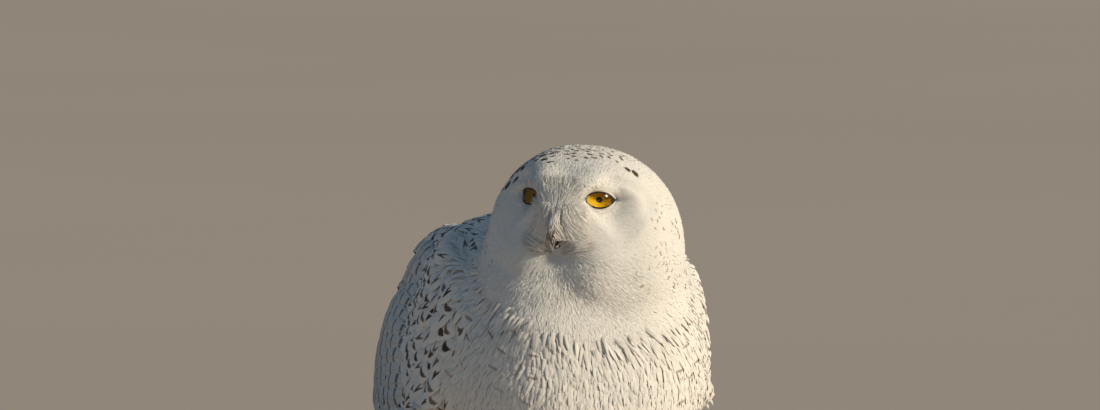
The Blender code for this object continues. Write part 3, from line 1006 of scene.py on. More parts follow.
    def sample(self, density: float, rng: Rng, share: Optional[Array] = None) -> "Roots":
        """Returns places spread at random over the skin.

        Args:
            density: How many places on each square metre.
            rng: The source of chance.
            share: How much each vertex belongs to the region wanted, or None for all the skin.
        """
        areas = self.areas
        if share is not None:
            areas = areas * (share > LEAST_SHARE)[self.triangles].any(1)
        count = int(density * areas.sum())
        faces = rng.choice(len(areas), count, p=areas / areas.sum())
        a, b = np.sqrt(rng.random(count)), rng.random(count)
        weights = np.stack([1 - a, a * (1 - b), a * b], 1)[..., None]
        corners = self.triangles[faces]
        return Roots(
            (self.points[corners] * weights).sum(1),
            unit((self.normals[corners] * weights).sum(1)),
            (self.uv[faces] * weights).sum(1),
            self.labels[corners[:, 0]],
            np.ones(count) if share is None else (share[corners] * weights[..., 0]).sum(1),
        )

    def nearest(self, points: Array) -> tuple[Array, Array]:
        """Returns the skin's nearest points and its smooth normals there."""
        flat = points.reshape(-1, 3)
        places, normals = np.empty_like(flat), np.empty_like(flat)
        for i, point in enumerate(flat):
            place, _, face, _ = self.tree.find_nearest(Vector(point))
            places[i] = place
            normals[i] = self.normals[self.triangles[face]].sum(0)
        return places.reshape(points.shape), unit(normals).reshape(points.shape)


@dataclass
class Roots:
    """Places on the skin where feathers or marks start."""

    points: Array
    normals: Array
    uv: Array
    labels: Array
    share: Array

    def take(self, chosen: Array) -> "Roots":
        """Returns some of the roots."""
        parts = (self.points, self.normals, self.uv, self.labels, self.share)
        return Roots(*(part[chosen] for part in parts))

    def thinned(self, cell: float, rng: Rng) -> "Roots":
        """Returns the roots with at most one in each cell of a grid laid at random."""
        keys = np.floor((self.points + rng.random(3) * cell) / cell).astype(np.int64)
        keys = keys @ CELL_KEYS
        _, first = np.unique(keys, return_index=True)
        return self.take(np.sort(first))

    def spaced(self, gap: float) -> "Roots":
        """Returns the roots that keep at least this gap to all those kept before them."""
        cells: dict[tuple[int, int, int], list[int]] = {}
        kept: list[int] = []
        steps = [(i, j, k) for i in (-1, 0, 1) for j in (-1, 0, 1) for k in (-1, 0, 1)]
        for i, point in enumerate(self.points):
            x, y, z = (int(math.floor(c / gap)) for c in point)
            near = [n for s in steps for n in cells.get((x + s[0], y + s[1], z + s[2]), ())]
            if near and np.min(np.linalg.norm(self.points[near] - point, axis=1)) < gap:
                continue
            cells.setdefault((x, y, z), []).append(i)
            kept.append(i)
        return self.take(np.array(kept, int))

    def __len__(self) -> int:
        """Returns the number of roots."""
        return len(self.points)


# ------------------------ lie of the coat


# Where the face's plumage parts, and the collar's way up, drop below the head's centre and blend.
BILL_POINT = np.array([0.0, 0.062, 0.005])
COLLAR_NORMAL = np.array([0.0, -0.55, 0.84])
COLLAR_DROP = 0.032
COLLAR_BLEND = (-0.016, 0.014)
# The swirl round each eye: its place ahead of the eye's centre, its strength and its width.
SWIRL_AHEAD = 0.015
SWIRL_SHARE = 0.92
SWIRL_WIDTH = 0.022


def head_share(points: Array) -> Array:
    """Returns how much a place belongs to the head, 1 well above the collar."""
    low = HEAD.centre - COLLAR_DROP * UP
    return ease(*COLLAR_BLEND, (points - low) @ COLLAR_NORMAL)


def drift(points: Array, scale: float, seed: float) -> Array:
    """Returns a smooth random-looking field from -1 to 1, for ruffles in the coat."""
    x, y, z = (points / scale + seed).T
    first = np.sin(x * 1.7 + 2.1 * np.sin(y * 1.1 + seed)) + np.sin(y * 1.9 + 1.7 * np.sin(z * 1.3))
    return (first + np.sin(z * 2.1 + 1.9 * np.sin(x * 0.9 + seed))) / 3


def body_flow(points: Array, normals: Array, labels: Array) -> Array:
    """Returns the lie of the plumage on neck, trunk, wings, tail, legs and feet."""
    frontal = np.clip(-normals[:, 1], 0, 1)
    flow = np.stack([np.zeros(len(points)), 1.0 - 0.5 * frontal, -0.30 - 1.5 * frontal], 1)
    flow[labels == Part.LEG.value] = (0.0, -0.5, -1.0)
    flow[labels == Part.FOOT.value] = (0.0, -1.0, -0.25)
    return along(flow, normals)


def lie(roots: Roots) -> Array:
    """Returns the direction in which the feathers at these roots lie."""
    points, normals = roots.points, roots.normals
    flow = along(HEAD.turn(HEAD.local(points) - BILL_POINT), normals)
    for eye in EYES.values():
        rel = points - (eye.centre + eye.ahead * SWIRL_AHEAD)
        share = SWIRL_SHARE * bump(np.linalg.norm(rel, axis=1), SWIRL_WIDTH)[:, None]
        flow = unit(flow * (1 - share) + along(rel, normals) * share)
    share = head_share(points)[:, None]
    body = body_flow(points, normals, roots.labels)
    return along(flow * share + body * (1 - share), normals)


# ------------------------ dark marks


@dataclass(frozen=True)
class MarkKind:
    """One region's marks: gap, halved length and width, darkness up to 1 and turn in radians."""

    gap: float
    length: Pair
    width: Pair
    dark: Pair
    turn: float


class Markings:
    """Dark marks laid on the skin, which the skin and the coat both read."""

    def __init__(self) -> None:
        """Starts with none."""
        self.rows: list[tuple[Array, Array, Array, Array]] = []

    def add(self, roots: Roots, kind: MarkKind, rng: Rng) -> None:
        """Lays a mark across the lie of the coat at each root."""
        n = len(roots)
        flow = turned(lie(roots), roots.normals, rng.uniform(-kind.turn, kind.turn, n))
        across = np.cross(roots.normals, flow)
        ranges = (kind.length, kind.width, kind.dark)
        sizes = np.stack([rng.uniform(*pair, n) for pair in ranges], 1)
        self.rows.append((roots.points, across, flow, sizes))

    def close(self) -> None:
        """Gathers the marks for searching."""
        joined = (np.concatenate(part) for part in zip(*self.rows))
        self.centres, self.across, self.flow, self.sizes = joined
        self.tree = KDTree(len(self.centres))
        for i, centre in enumerate(self.centres):
            self.tree.insert(Vector(centre), i)
        self.tree.balance()

    def nearest(self, points: Array) -> Array:
        """Returns the number of the nearest mark to each point."""
        return np.array([self.tree.find(Vector(p))[1] for p in points], int)

    def local(self, points: Array, chosen: Array) -> Array:
        """Returns points in their mark's own measure, with its darkness as the third part.

        Args:
            points: Points, (n, k, 3).
            chosen: A mark for each row.
        """
        rel = points - self.centres[chosen][:, None]
        x = dot(rel, self.across[chosen][:, None])[..., 0] / self.sizes[chosen, 0:1]
        y = dot(rel, self.flow[chosen][:, None])[..., 0] / self.sizes[chosen, 1:2]
        dark = np.broadcast_to(self.sizes[chosen, 2:3], x.shape)
        return np.stack([x, y, dark], -1)


MARK_DENSITY = 260000
FORE_MARKS = MarkKind(0.0044, (0.0011, 0.0029), (0.0007, 0.0013), (0.80, 1.0), 0.6)
RIGHT_MARKS = MarkKind(0.0062, (0.0024, 0.0042), (0.0012, 0.0021), (0.95, 1.0), 0.3)
NAPE_MARKS = MarkKind(0.0088, (0.0018, 0.0030), (0.0008, 0.0013), (0.7, 1.0), 0.35)
FLANK_MARKS = MarkKind(0.0135, (0.0028, 0.0046), (0.0007, 0.0011), (0.30, 0.60), 0.25)

# Fine flecks on both sides of the head: place, reach, how many, their half length and darkness.
SIDE_CLUSTERS = (
    ((0.061, 0.015, 0.037), 0.0055, 3, (0.0006, 0.0012), (0.30, 0.55)),
    ((0.064, 0.022, 0.022), 0.0085, 7, (0.0008, 0.0018), (0.30, 0.60)),
    ((0.070, 0.004, 0.015), 0.0090, 6, (0.0012, 0.0022), (0.55, 1.00)),
    ((0.068, 0.022, -0.001), 0.0095, 13, (0.0012, 0.0028), (0.25, 0.60)),
    ((0.071, 0.006, -0.014), 0.0130, 7, (0.0010, 0.0020), (0.35, 0.70)),
    ((0.058, 0.034, -0.020), 0.0100, 4, (0.0010, 0.0018), (0.25, 0.50)),
)
CLUSTER_WIDTH = (0.0005, 0.0009)
RIGHT_REACH = 1.25

# Two large marks over the left eye: place and half length.
BLOTCHES = (((0.0425, 0.0205, 0.0550), 0.0034), ((0.0375, 0.0230, 0.0572), 0.0026))


def mark_crown(marks: Markings, roots: Roots, rng: Rng) -> None:
    """Lays the marks on crown and nape, thinned at random towards the forehead."""
    side, ahead, up = HEAD.local(roots.points).T
    head = roots.labels == Part.HEAD.value
    edge = 0.035 - 0.25 * np.abs(side + 0.012) + 0.006 * drift(roots.points, 0.009, 3.0)
    fore = head & (up > 0.050) & (ahead < edge) & (ahead > 0.004) & (side < 0.030)
    spots = roots.take(fore).spaced(FORE_MARKS.gap)
    inside = (edge[fore].max() - HEAD.local(spots.points)[:, 1]) / 0.016
    kept = rng.random(len(spots)) < 0.22 + 0.74 * np.clip(inside, 0, 1)
    marks.add(spots.take(kept), FORE_MARKS, rng)
    right = head & (up > 0.036) & (side < -0.018)
    right &= (ahead < 0.0345 + 0.25 * (side + 0.018)) & (ahead > -0.030)
    marks.add(roots.take(right).spaced(RIGHT_MARKS.gap), RIGHT_MARKS, rng)
    nape = head & (ahead < 0.0) & (up > -0.030) & ~right & ((side < 0.034) | (ahead < -0.02))
    marks.add(roots.take(nape).spaced(NAPE_MARKS.gap), NAPE_MARKS, rng)


def mark_sides(marks: Markings, skin: Skin, roots: Roots, rng: Rng) -> None:
    """Lays the flecks on the sides of the head and the large marks over the left eye."""
    head = roots.labels == Part.HEAD.value
    for place, reach, count, length, dark in SIDE_CLUSTERS:
        kind = MarkKind(reach * 0.42, length, CLUSTER_WIDTH, dark, 0.8)
        for sign, share in ((1, 1.0), (-1, RIGHT_REACH)):
            middle = np.array(place) * (sign, 1, 1)
            near = np.linalg.norm(HEAD.local(roots.points) - middle, axis=1) < reach * share
            kept = roots.take(head & near).spaced(kind.gap).thinned(reach * 0.55, rng)
            marks.add(kept.take(rng.permutation(len(kept))[:count]), kind, rng)
    for spot, size in BLOTCHES:
        place = skin.nearest(HEAD.world(np.array([spot])))
        root = Roots(*place, np.zeros((1, 2)), np.array([Part.HEAD.value]), np.ones(1))
        kind = MarkKind(0.0, (size, size), (size * 0.70, size * 0.70), (0.95, 0.95), 0.2)
        marks.add(root, kind, rng)


def mark_flanks(marks: Markings, roots: Roots, rng: Rng) -> None:
    """Lays the faint marks low on the flanks."""
    out, _, height = np.abs(roots.points).T
    low = np.isin(roots.labels, (Part.NECK.value, Part.TRUNK.value)) & (height < 0.13)
    low &= (height > 0.02) & (out > 0.052) & (drift(roots.points, 0.03, 2.0) > -0.25)
    marks.add(roots.take(low).spaced(FLANK_MARKS.gap), FLANK_MARKS, rng)


def place_markings(skin: Skin, rng: Rng) -> Markings:
    """Returns the marks on crown, nape, sides of the head and flanks."""
    marks = Markings()
    roots = skin.sample(MARK_DENSITY, rng)
    mark_crown(marks, roots, rng)
    mark_sides(marks, skin, roots, rng)
    mark_flanks(marks, roots, rng)
    marks.close()
    return marks


# ------------------------ feathers as meshes


# How high over the floor a feather's root stays, its tip more, and its root's place on the map.
LEAST_HEIGHT = 0.0003
TIP_HEIGHT = 0.0002
ROOT_ON_MAP = -0.12


@dataclass(frozen=True)
class Vane:
    """One feather's shape, repeated along many spines: closed, ridged or cambered."""

    stations: tuple[float, ...]
    widths: tuple[float, ...]
    across: tuple[float, ...] = (-1.0, 0.0, 1.0)
    crown: tuple[float, ...] = (0.0, 0.22, 0.0)
    patch: float = 0.003
    softness: float = 0.5

    def _faces(self) -> list[Array]:
        """Returns the faces of one feather: top and bottom strips, tip and root."""
        m, rows = len(self.across), len(self.stations)
        tip = m * rows
        quads = []
        for r in range(rows - 1):
            for c in range(m - 1):
                a = r * m + c
                quads.append((a, a + 1, a + m + 1, a + m))
            quads.append((r * m + m - 1, r * m, (r + 1) * m, (r + 1) * m + m - 1))
        last = (rows - 1) * m
        ends = [(last + c, last + c + 1, tip) for c in range(m - 1)] + [(last + m - 1, last, tip)]
        root = [tuple(range(m))[::-1]]
        return [np.array(quads), np.array(ends), np.array(root)]

    def build(
        self, name: str, spines: Array, normals: Array, widths: Array, uv: Array, seeds: Array,
        extra: Callable[[Array, Array, Array], dict[str, Array]], roll: Optional[Array] = None,
    ) -> Object:
        """Returns a piece with a feather on each spine.

        Args:
            name: The piece's name.
            spines: Points at each station and at the tip, (n, rows + 1, 3).
            normals: The outward directions there.
            widths: The feathers' full widths.
            uv: The places of their roots on the map.
            seeds: A random number for each.
            extra: Makes more attributes from points, across and down.
            roll: How far each is rolled about its spine.
        """
        n, rows, m = len(spines), len(self.stations), len(self.across)
        tangent = unit(np.gradient(spines, axis=1))
        out = along(normals, tangent)
        if roll is not None:
            out = turned(out, tangent, np.broadcast_to(roll[:, None], out.shape[:2]))
        side = np.cross(tangent, out)
        half = widths[:, None, None] / 2 * np.array(self.widths)[None, :, None]
        u = np.array(self.across)[None, None, :]
        reach = (half * u)[..., None] * side[:, :rows, None]
        rise = (half * np.array(self.crown)[None, None, :])[..., None] * out[:, :rows, None]
        body = (spines[:, :rows, None] + reach + rise).reshape(n, rows * m, 3)
        points = np.concatenate([body, spines[:, rows:]], 1)
        down = np.append(np.repeat(self.stations, m), 1.0)
        cross = np.append(np.tile(self.across, rows), 0.0)
        points[..., 2] = np.maximum(points[..., 2], LEAST_HEIGHT + TIP_HEIGHT * down)
        faces = [(f[None] + np.arange(n)[:, None, None] * (rows * m + 1)) for f in self._faces()]
        faces = [f.reshape(-1, f.shape[-1]) for f in faces]
        on_map = down.copy()
        on_map[1 : m - 1] = ROOT_ON_MAP
        spot = np.stack([cross * 0.5, on_map - 0.5], 1) * self.patch
        places = (uv[:, None] + spot[None]).reshape(-1, 2)
        vane = np.stack(np.broadcast_arrays(cross[None], down[None], seeds[:, None]), -1)
        vectors = {"vane": vane.reshape(-1, 3)}
        for key, values in extra(points, cross, down).items():
            vectors[key] = values.reshape(-1, 3)
        shading = self._shading(out, side, faces)
        return piece_from_arrays(name, points.reshape(-1, 3), faces, vectors, places, shading)

    def _shading(self, out: Array, side: Array, faces: Sequence[Array]) -> Array:
        """Returns corner normals that lean only a little sideways, as soft down scatters light."""
        n, rows, m = len(out), len(self.stations), len(self.across)
        lean = (1.0 - self.softness) * np.array(self.across)[None, None, :, None]
        body = unit(out[:, :rows, None] + side[:, :rows, None] * lean).reshape(n, rows * m, 3)
        vertex = np.concatenate([body, out[:, rows:]], 1).reshape(-1, 3)
        strip = [1.0] * (m - 1) + [-1.0]
        signs = (np.tile(strip * (rows - 1), n), np.tile(strip, n), np.full(n, -1.0))
        corners = [vertex[f] * sign[:, None, None] for f, sign in zip(faces, signs)]
        return np.concatenate([c.reshape(-1, 3) for c in corners])


@dataclass(frozen=True)
class Coat:
    """How the feathers of one region are cut and laid.

    Density is the random places on each square metre and cell the room that each feather keeps.
    Sunk, arch and lift are depth or height at root, middle and tip. Angles are in radians.
    """

    vane: Vane
    density: float
    cell: float
    length: Pair
    width: Pair
    sunk: float
    arch: float
    lift: float
    stray: float = 0.14
    roll: float = 0.25
    ruffle: float = 0.0
    ruffle_size: float = 0.010

    def spines(self, skin: Skin, roots: Roots, rng: Rng) -> tuple[Array, Array, Array, Array]:
        """Returns spines, normals, lengths and widths for feathers at these roots."""
        n = len(roots)
        wave = drift(roots.points, self.ruffle_size, 5.0) * self.ruffle
        flow = turned(lie(roots), roots.normals, rng.normal(0, self.stray, n) + wave)
        length = rng.uniform(*self.length, n)
        width = rng.uniform(*self.width, n) * (0.6 + 0.4 * length / self.length[1])
        start = roots.points - roots.normals * self.sunk
        half, half_out = skin.nearest(roots.points + flow * length[:, None] * 0.5)
        middle = half + half_out * (self.arch * rng.uniform(0.7, 1.3, n))[:, None]
        aim = half + unit(half - roots.points) * length[:, None] * 0.5
        end, end_out = skin.nearest(aim)
        end = end + end_out * (self.lift * rng.uniform(0.55, 1.45, n))[:, None]
        via = 2 * middle - 0.5 * (start + end)
        spine = self._curve(start, via, end)
        return spine, unit(self._curve(roots.normals, half_out, end_out)), length, width

    def _curve(self, start: Array, via: Array, end: Array) -> Array:
        """Returns the stations of curves from start to end, drawn towards via."""
        t = np.array([*self.vane.stations, 1.0])[None, :, None]
        return start[:, None] * (1 - t) ** 2 + via[:, None] * 2 * t * (1 - t) + end[:, None] * t * t

    def lay(self, name: str, skin: Skin, roots: Roots, marks: Markings, rng: Rng) -> Object:
        """Returns feathers at these roots as one piece, with the skin's marks on them."""
        spine, normal, _, width = self.spines(skin, roots, rng)
        chosen = marks.nearest(spine[:, -2])
        seeds = rng.random(len(roots))
        roll = rng.normal(0, self.roll, len(roots))

        def extra(points: Array, cross: Array, down: Array) -> dict[str, Array]:
            """Returns the mark attribute."""
            return {"mark": np.clip(marks.local(points, chosen), -FAR, FAR)}

        return self.vane.build(name, spine, normal, width, roots.uv, seeds, extra, roll)


HAIR = Vane((0.0, 0.55), (0.75, 1.0), crown=(0.0, 0.26, 0.0), softness=0.80)
TUFT = Vane((0.0, 0.40, 0.78), (0.55, 1.0, 0.72), crown=(0.0, 0.18, 0.0), softness=0.75)
BRISTLE = Vane((0.0, 0.30, 0.58, 0.82), (0.8, 1.0, 0.8, 0.5), crown=(0.0, 0.55, 0.0), softness=0.35)
CONTOUR = Vane(
    (0.0, 0.30, 0.58, 0.80, 0.93),
    (0.35, 0.86, 1.0, 0.84, 0.50),
    across=(-1.0, -0.5, 0.0, 0.5, 1.0),
    crown=(0.0, 0.14, 0.19, 0.14, 0.0),
    softness=0.45,
)
FLIGHT = Vane(
    (0.0, 0.10, 0.22, 0.34, 0.46, 0.57, 0.67, 0.76, 0.84, 0.90, 0.95, 0.985),
    (0.35, 0.62, 0.82, 0.94, 1.0, 1.0, 0.97, 0.91, 0.81, 0.68, 0.49, 0.26),
    across=(-1.0, -0.66, -0.33, -0.06, 0.06, 0.33, 0.66, 1.0),
    crown=(0.0, 0.10, 0.155, 0.175, 0.175, 0.155, 0.10, 0.0),
    patch=0.012,
    softness=0.25,
)


COATS = {
    "disc": Coat(
        HAIR, 5200000, 0.00052, (0.0075, 0.0110), (0.0008, 0.0013), 0.0003, 0.0007, 0.0005,
        stray=0.08, roll=0.12, ruffle=0.14, ruffle_size=0.006,
    ),
    "brow": Coat(
        HAIR, 2200000, 0.00080, (0.0080, 0.0115), (0.0010, 0.0016), 0.0004, 0.0009, 0.0008,
        stray=0.12, roll=0.13, ruffle=0.24, ruffle_size=0.007,
    ),
    "crown": Coat(
        TUFT, 1300000, 0.00115, (0.0095, 0.0135), (0.0017, 0.0026), 0.0006, 0.0014, 0.0012,
        stray=0.11, roll=0.12, ruffle=0.22, ruffle_size=0.009,
    ),
    "breast": Coat(
        TUFT, 700000, 0.00185, (0.0150, 0.0210), (0.0024, 0.0036), 0.0014, 0.0026, 0.0022,
        stray=0.12, roll=0.14, ruffle=0.22, ruffle_size=0.014,
    ),
    "belly": Coat(
        TUFT, 300000, 0.0029, (0.0190, 0.0260), (0.0034, 0.0050), 0.0015, 0.0026, 0.0024,
        stray=0.13, roll=0.14, ruffle=0.20, ruffle_size=0.018,
    ),
    "legs": Coat(
        TUFT, 900000, 0.0014, (0.0070, 0.0110), (0.0012, 0.0020), 0.0005, 0.0010, 0.0010, stray=0.2
    ),
    "back": Coat(
        CONTOUR, 400000, 0.0066, (0.0270, 0.0330), (0.0135, 0.0170), 0.0022, 0.0022, 0.0030,
        stray=0.09, roll=0.06,
    ),
}


@dataclass(frozen=True)
class BackBars:
    """The bars on the back's feathers, some of them short thick streaks and some left out.

    Place is a share of the length and reach, halved, one of the width.
    """

    place: Pair = (0.66, 0.80)
    streaks: float = 0.40
    streak_reach: Pair = (0.10, 0.15)
    reach: Pair = (0.20, 0.34)
    streak_thick: Pair = (0.0026, 0.0040)
    thick: Pair = (0.0017, 0.0028)
    plain: float = 0.12
    dark: Pair = (0.75, 1.0)
    bow: float = 1.1


class Plume:
    """All the small feathers: face, crown, throat, breast, belly, back, legs and feet."""

    back_share = 0.45
    bars = BackBars()

    def __init__(self, skin: Skin, marks: Markings, material: Material) -> None:
        """Keeps the skin, the marks and the finish, and maps the regions on the skin."""
        self.skin = skin
        self.marks = marks
        self.material = material
        self.rng = np.random.default_rng(SEED)
        local = HEAD.local(skin.points)
        ahead = local[:, 1]
        share = head_share(skin.points)
        face = share * ease(1.30, 0.95, disc_edge(local)) * ease(0.004, 0.020, ahead)
        fore = ease(0.000, 0.018, ahead)
        x, y, z = skin.points.T
        label = skin.labels
        trunk = np.isin(label, (Part.HEAD.value, Part.NECK.value, Part.TRUNK.value))
        upper = ease(-0.25, 0.10, skin.normals[:, 2]) * ease(-0.185, -0.150, y)
        upper = upper * ease(0.085, 0.110, z + 0.5 * y)
        root = (label == Part.COVERTS.value) | ((label == Part.SECONDARIES.value) & (y < -0.02))
        self.back = np.maximum(upper * trunk, root) * (1 - share)
        legs = np.isin(label, (Part.LEG.value, Part.FOOT.value))
        rest = (1 - share) * (1 - self.back) * ~legs
        breast = trunk * ease(-0.085, -0.115, y)
        self.regions = {
            "disc": face,
            "brow": share * (1 - face) * fore,
            "crown": share * (1 - face) * (1 - fore),
            "breast": rest * breast,
            "belly": rest * (1 - breast),
            "legs": legs.astype(float),
        }

    def _roots(self, region: str) -> Roots:
        """Returns evenly spread roots in a region."""
        coat = COATS[region]
        roots = self.skin.sample(coat.density, self.rng, self.regions[region])
        keep = roots.share > self.rng.random(len(roots))
        keep &= self._clear_of_eyes(roots)
        return roots.take(keep).thinned(coat.cell, self.rng)

    @staticmethod
    def _clear_of_eyes(roots: Roots) -> Array:
        """Returns which roots lie clear of the openings between the lids."""
        clear = np.ones(len(roots), bool)
        for eye in EYES.values():
            x, z, y = eye.local(roots.points).T
            clear &= ~((APERTURE.outward(x, y) < 0.0011) & (z > 0.0) & (np.hypot(x, y) < 0.02))
        return clear

    def build(self) -> None:
        """Builds the coat's pieces."""
        roots = {region: self._roots(region) for region in self.regions}
        left = {
            "disc": HEAD.local(roots["disc"].points)[:, 0] > 0,
            "brow": HEAD.local(roots["brow"].points)[:, 0] > 0.012,
            "crown": roots["crown"].points[:, 0] > HEAD.centre[0],
            "breast": roots["breast"].points[:, 0] > 0,
        }
        names = {"disc": "face", "brow": "brow", "crown": "crown_and_nape", "breast": "breast"}
        plan = [
            (f"{name}_{side}", region, chosen)
            for region, name in names.items()
            for side, chosen in (("left", left[region]), ("right", ~left[region]))
        ]
        low = roots["belly"].normals[:, 2] < 0
        plan += [("belly", "belly", low), ("flanks_and_rump", "belly", ~low)]
        plan.append(("feathered_feet", "legs", np.ones(len(roots["legs"]), bool)))
        pieces = [
            COATS[region].lay(name, self.skin, roots[region].take(chosen), self.marks, self.rng)
            for name, region, chosen in plan
        ]
        for piece in (*pieces, self._contour()):
            finish_piece(piece, self.material)

    def _contour(self) -> Object:
        """Returns the back's and wing coverts' feathers, each with a dark bar of its own."""
        rng = self.rng
        coat, bars = COATS["back"], self.bars
        roots = self.skin.sample(coat.density, rng, self.back)
        roots = roots.take(roots.share > self.back_share).spaced(coat.cell)
        spine, normal, length, width = coat.spines(self.skin, roots, rng)
        n = len(roots)
        place = rng.uniform(*bars.place, n)
        streak = rng.random(n) < bars.streaks
        reach = np.where(streak, rng.uniform(*bars.streak_reach, n), rng.uniform(*bars.reach, n))
        thick = np.where(streak, rng.uniform(*bars.streak_thick, n), rng.uniform(*bars.thick, n))
        dark = np.where(rng.random(n) < bars.plain, 0.0, rng.uniform(*bars.dark, n))

        def extra(points: Array, cross: Array, down: Array) -> dict[str, Array]:
            """Returns each feather's own mark."""
            profile = np.append(np.repeat(coat.vane.widths, len(coat.vane.across)), 0.0)
            x = cross[None] * profile[None] / 2 / reach[:, None]
            y = (down[None] - place[:, None]) * (length / thick)[:, None] + bars.bow * x**2
            strength = np.broadcast_to(dark[:, None], x.shape)
            return {"mark": np.clip(np.stack([x, y, strength], -1), -FAR, FAR)}

        name, seeds, roll = "back_and_coverts", rng.random(n), rng.normal(0, coat.roll, n)
        return coat.vane.build(name, spine, normal, width, roots.uv, seeds, extra, roll)


# ------------------------ eyes and lids


def lathe(name: str, profile: Sequence[Pair], axes: Axes) -> Object:
    """Returns a closed turned shape.

    Args:
        name: The piece's name.
        profile: Radius and height of each point, from the foot of the axis to its top.
        axes: Where it stands, with its height along ahead.
    """
    mesh = bpy.data.meshes.new(name)
    edges = [(i, i + 1) for i in range(len(profile) - 1)]
    mesh.from_pydata([(r, 0.0, h) for r, h in profile], edges, [])
    obj = placed(name, mesh)
    steps = {"steps": LATHE_STEPS, "render_steps": LATHE_STEPS}
    apply_modifier(obj, "SCREW", use_merge_vertices=True, merge_threshold=LATHE_GAP, **steps)
    shape = bmesh.new()
    shape.from_mesh(obj.data)
    bmesh.ops.remove_doubles(shape, verts=shape.verts, dist=LATHE_GAP)
    for vertex in shape.verts:
        x, y, z = vertex.co
        vertex.co = Vector(axes.world(np.array([x, z, y])))
    bmesh.ops.recalc_face_normals(shape, faces=shape.faces)
    if shape.calc_volume(signed=True) < 0:
        bmesh.ops.reverse_faces(shape, faces=shape.faces)
    shape.to_mesh(obj.data)
    shape.free()
    obj.data.shade_smooth()
    return obj


def arc(radius: float, centre: float, start: float, end: float, count: int) -> list[Pair]:
    """Returns profile points on a circle about the axis, by distance from the axis.

    Args:
        radius: The circle's radius.
        centre: Its centre's height.
        start: The first point's angle from the top of the axis.
        end: The last point's angle.
        count: How many points.
    """
    angles = np.linspace(start, end, count)
    return [(abs(radius * math.sin(a)), centre + radius * math.cos(a)) for a in angles]


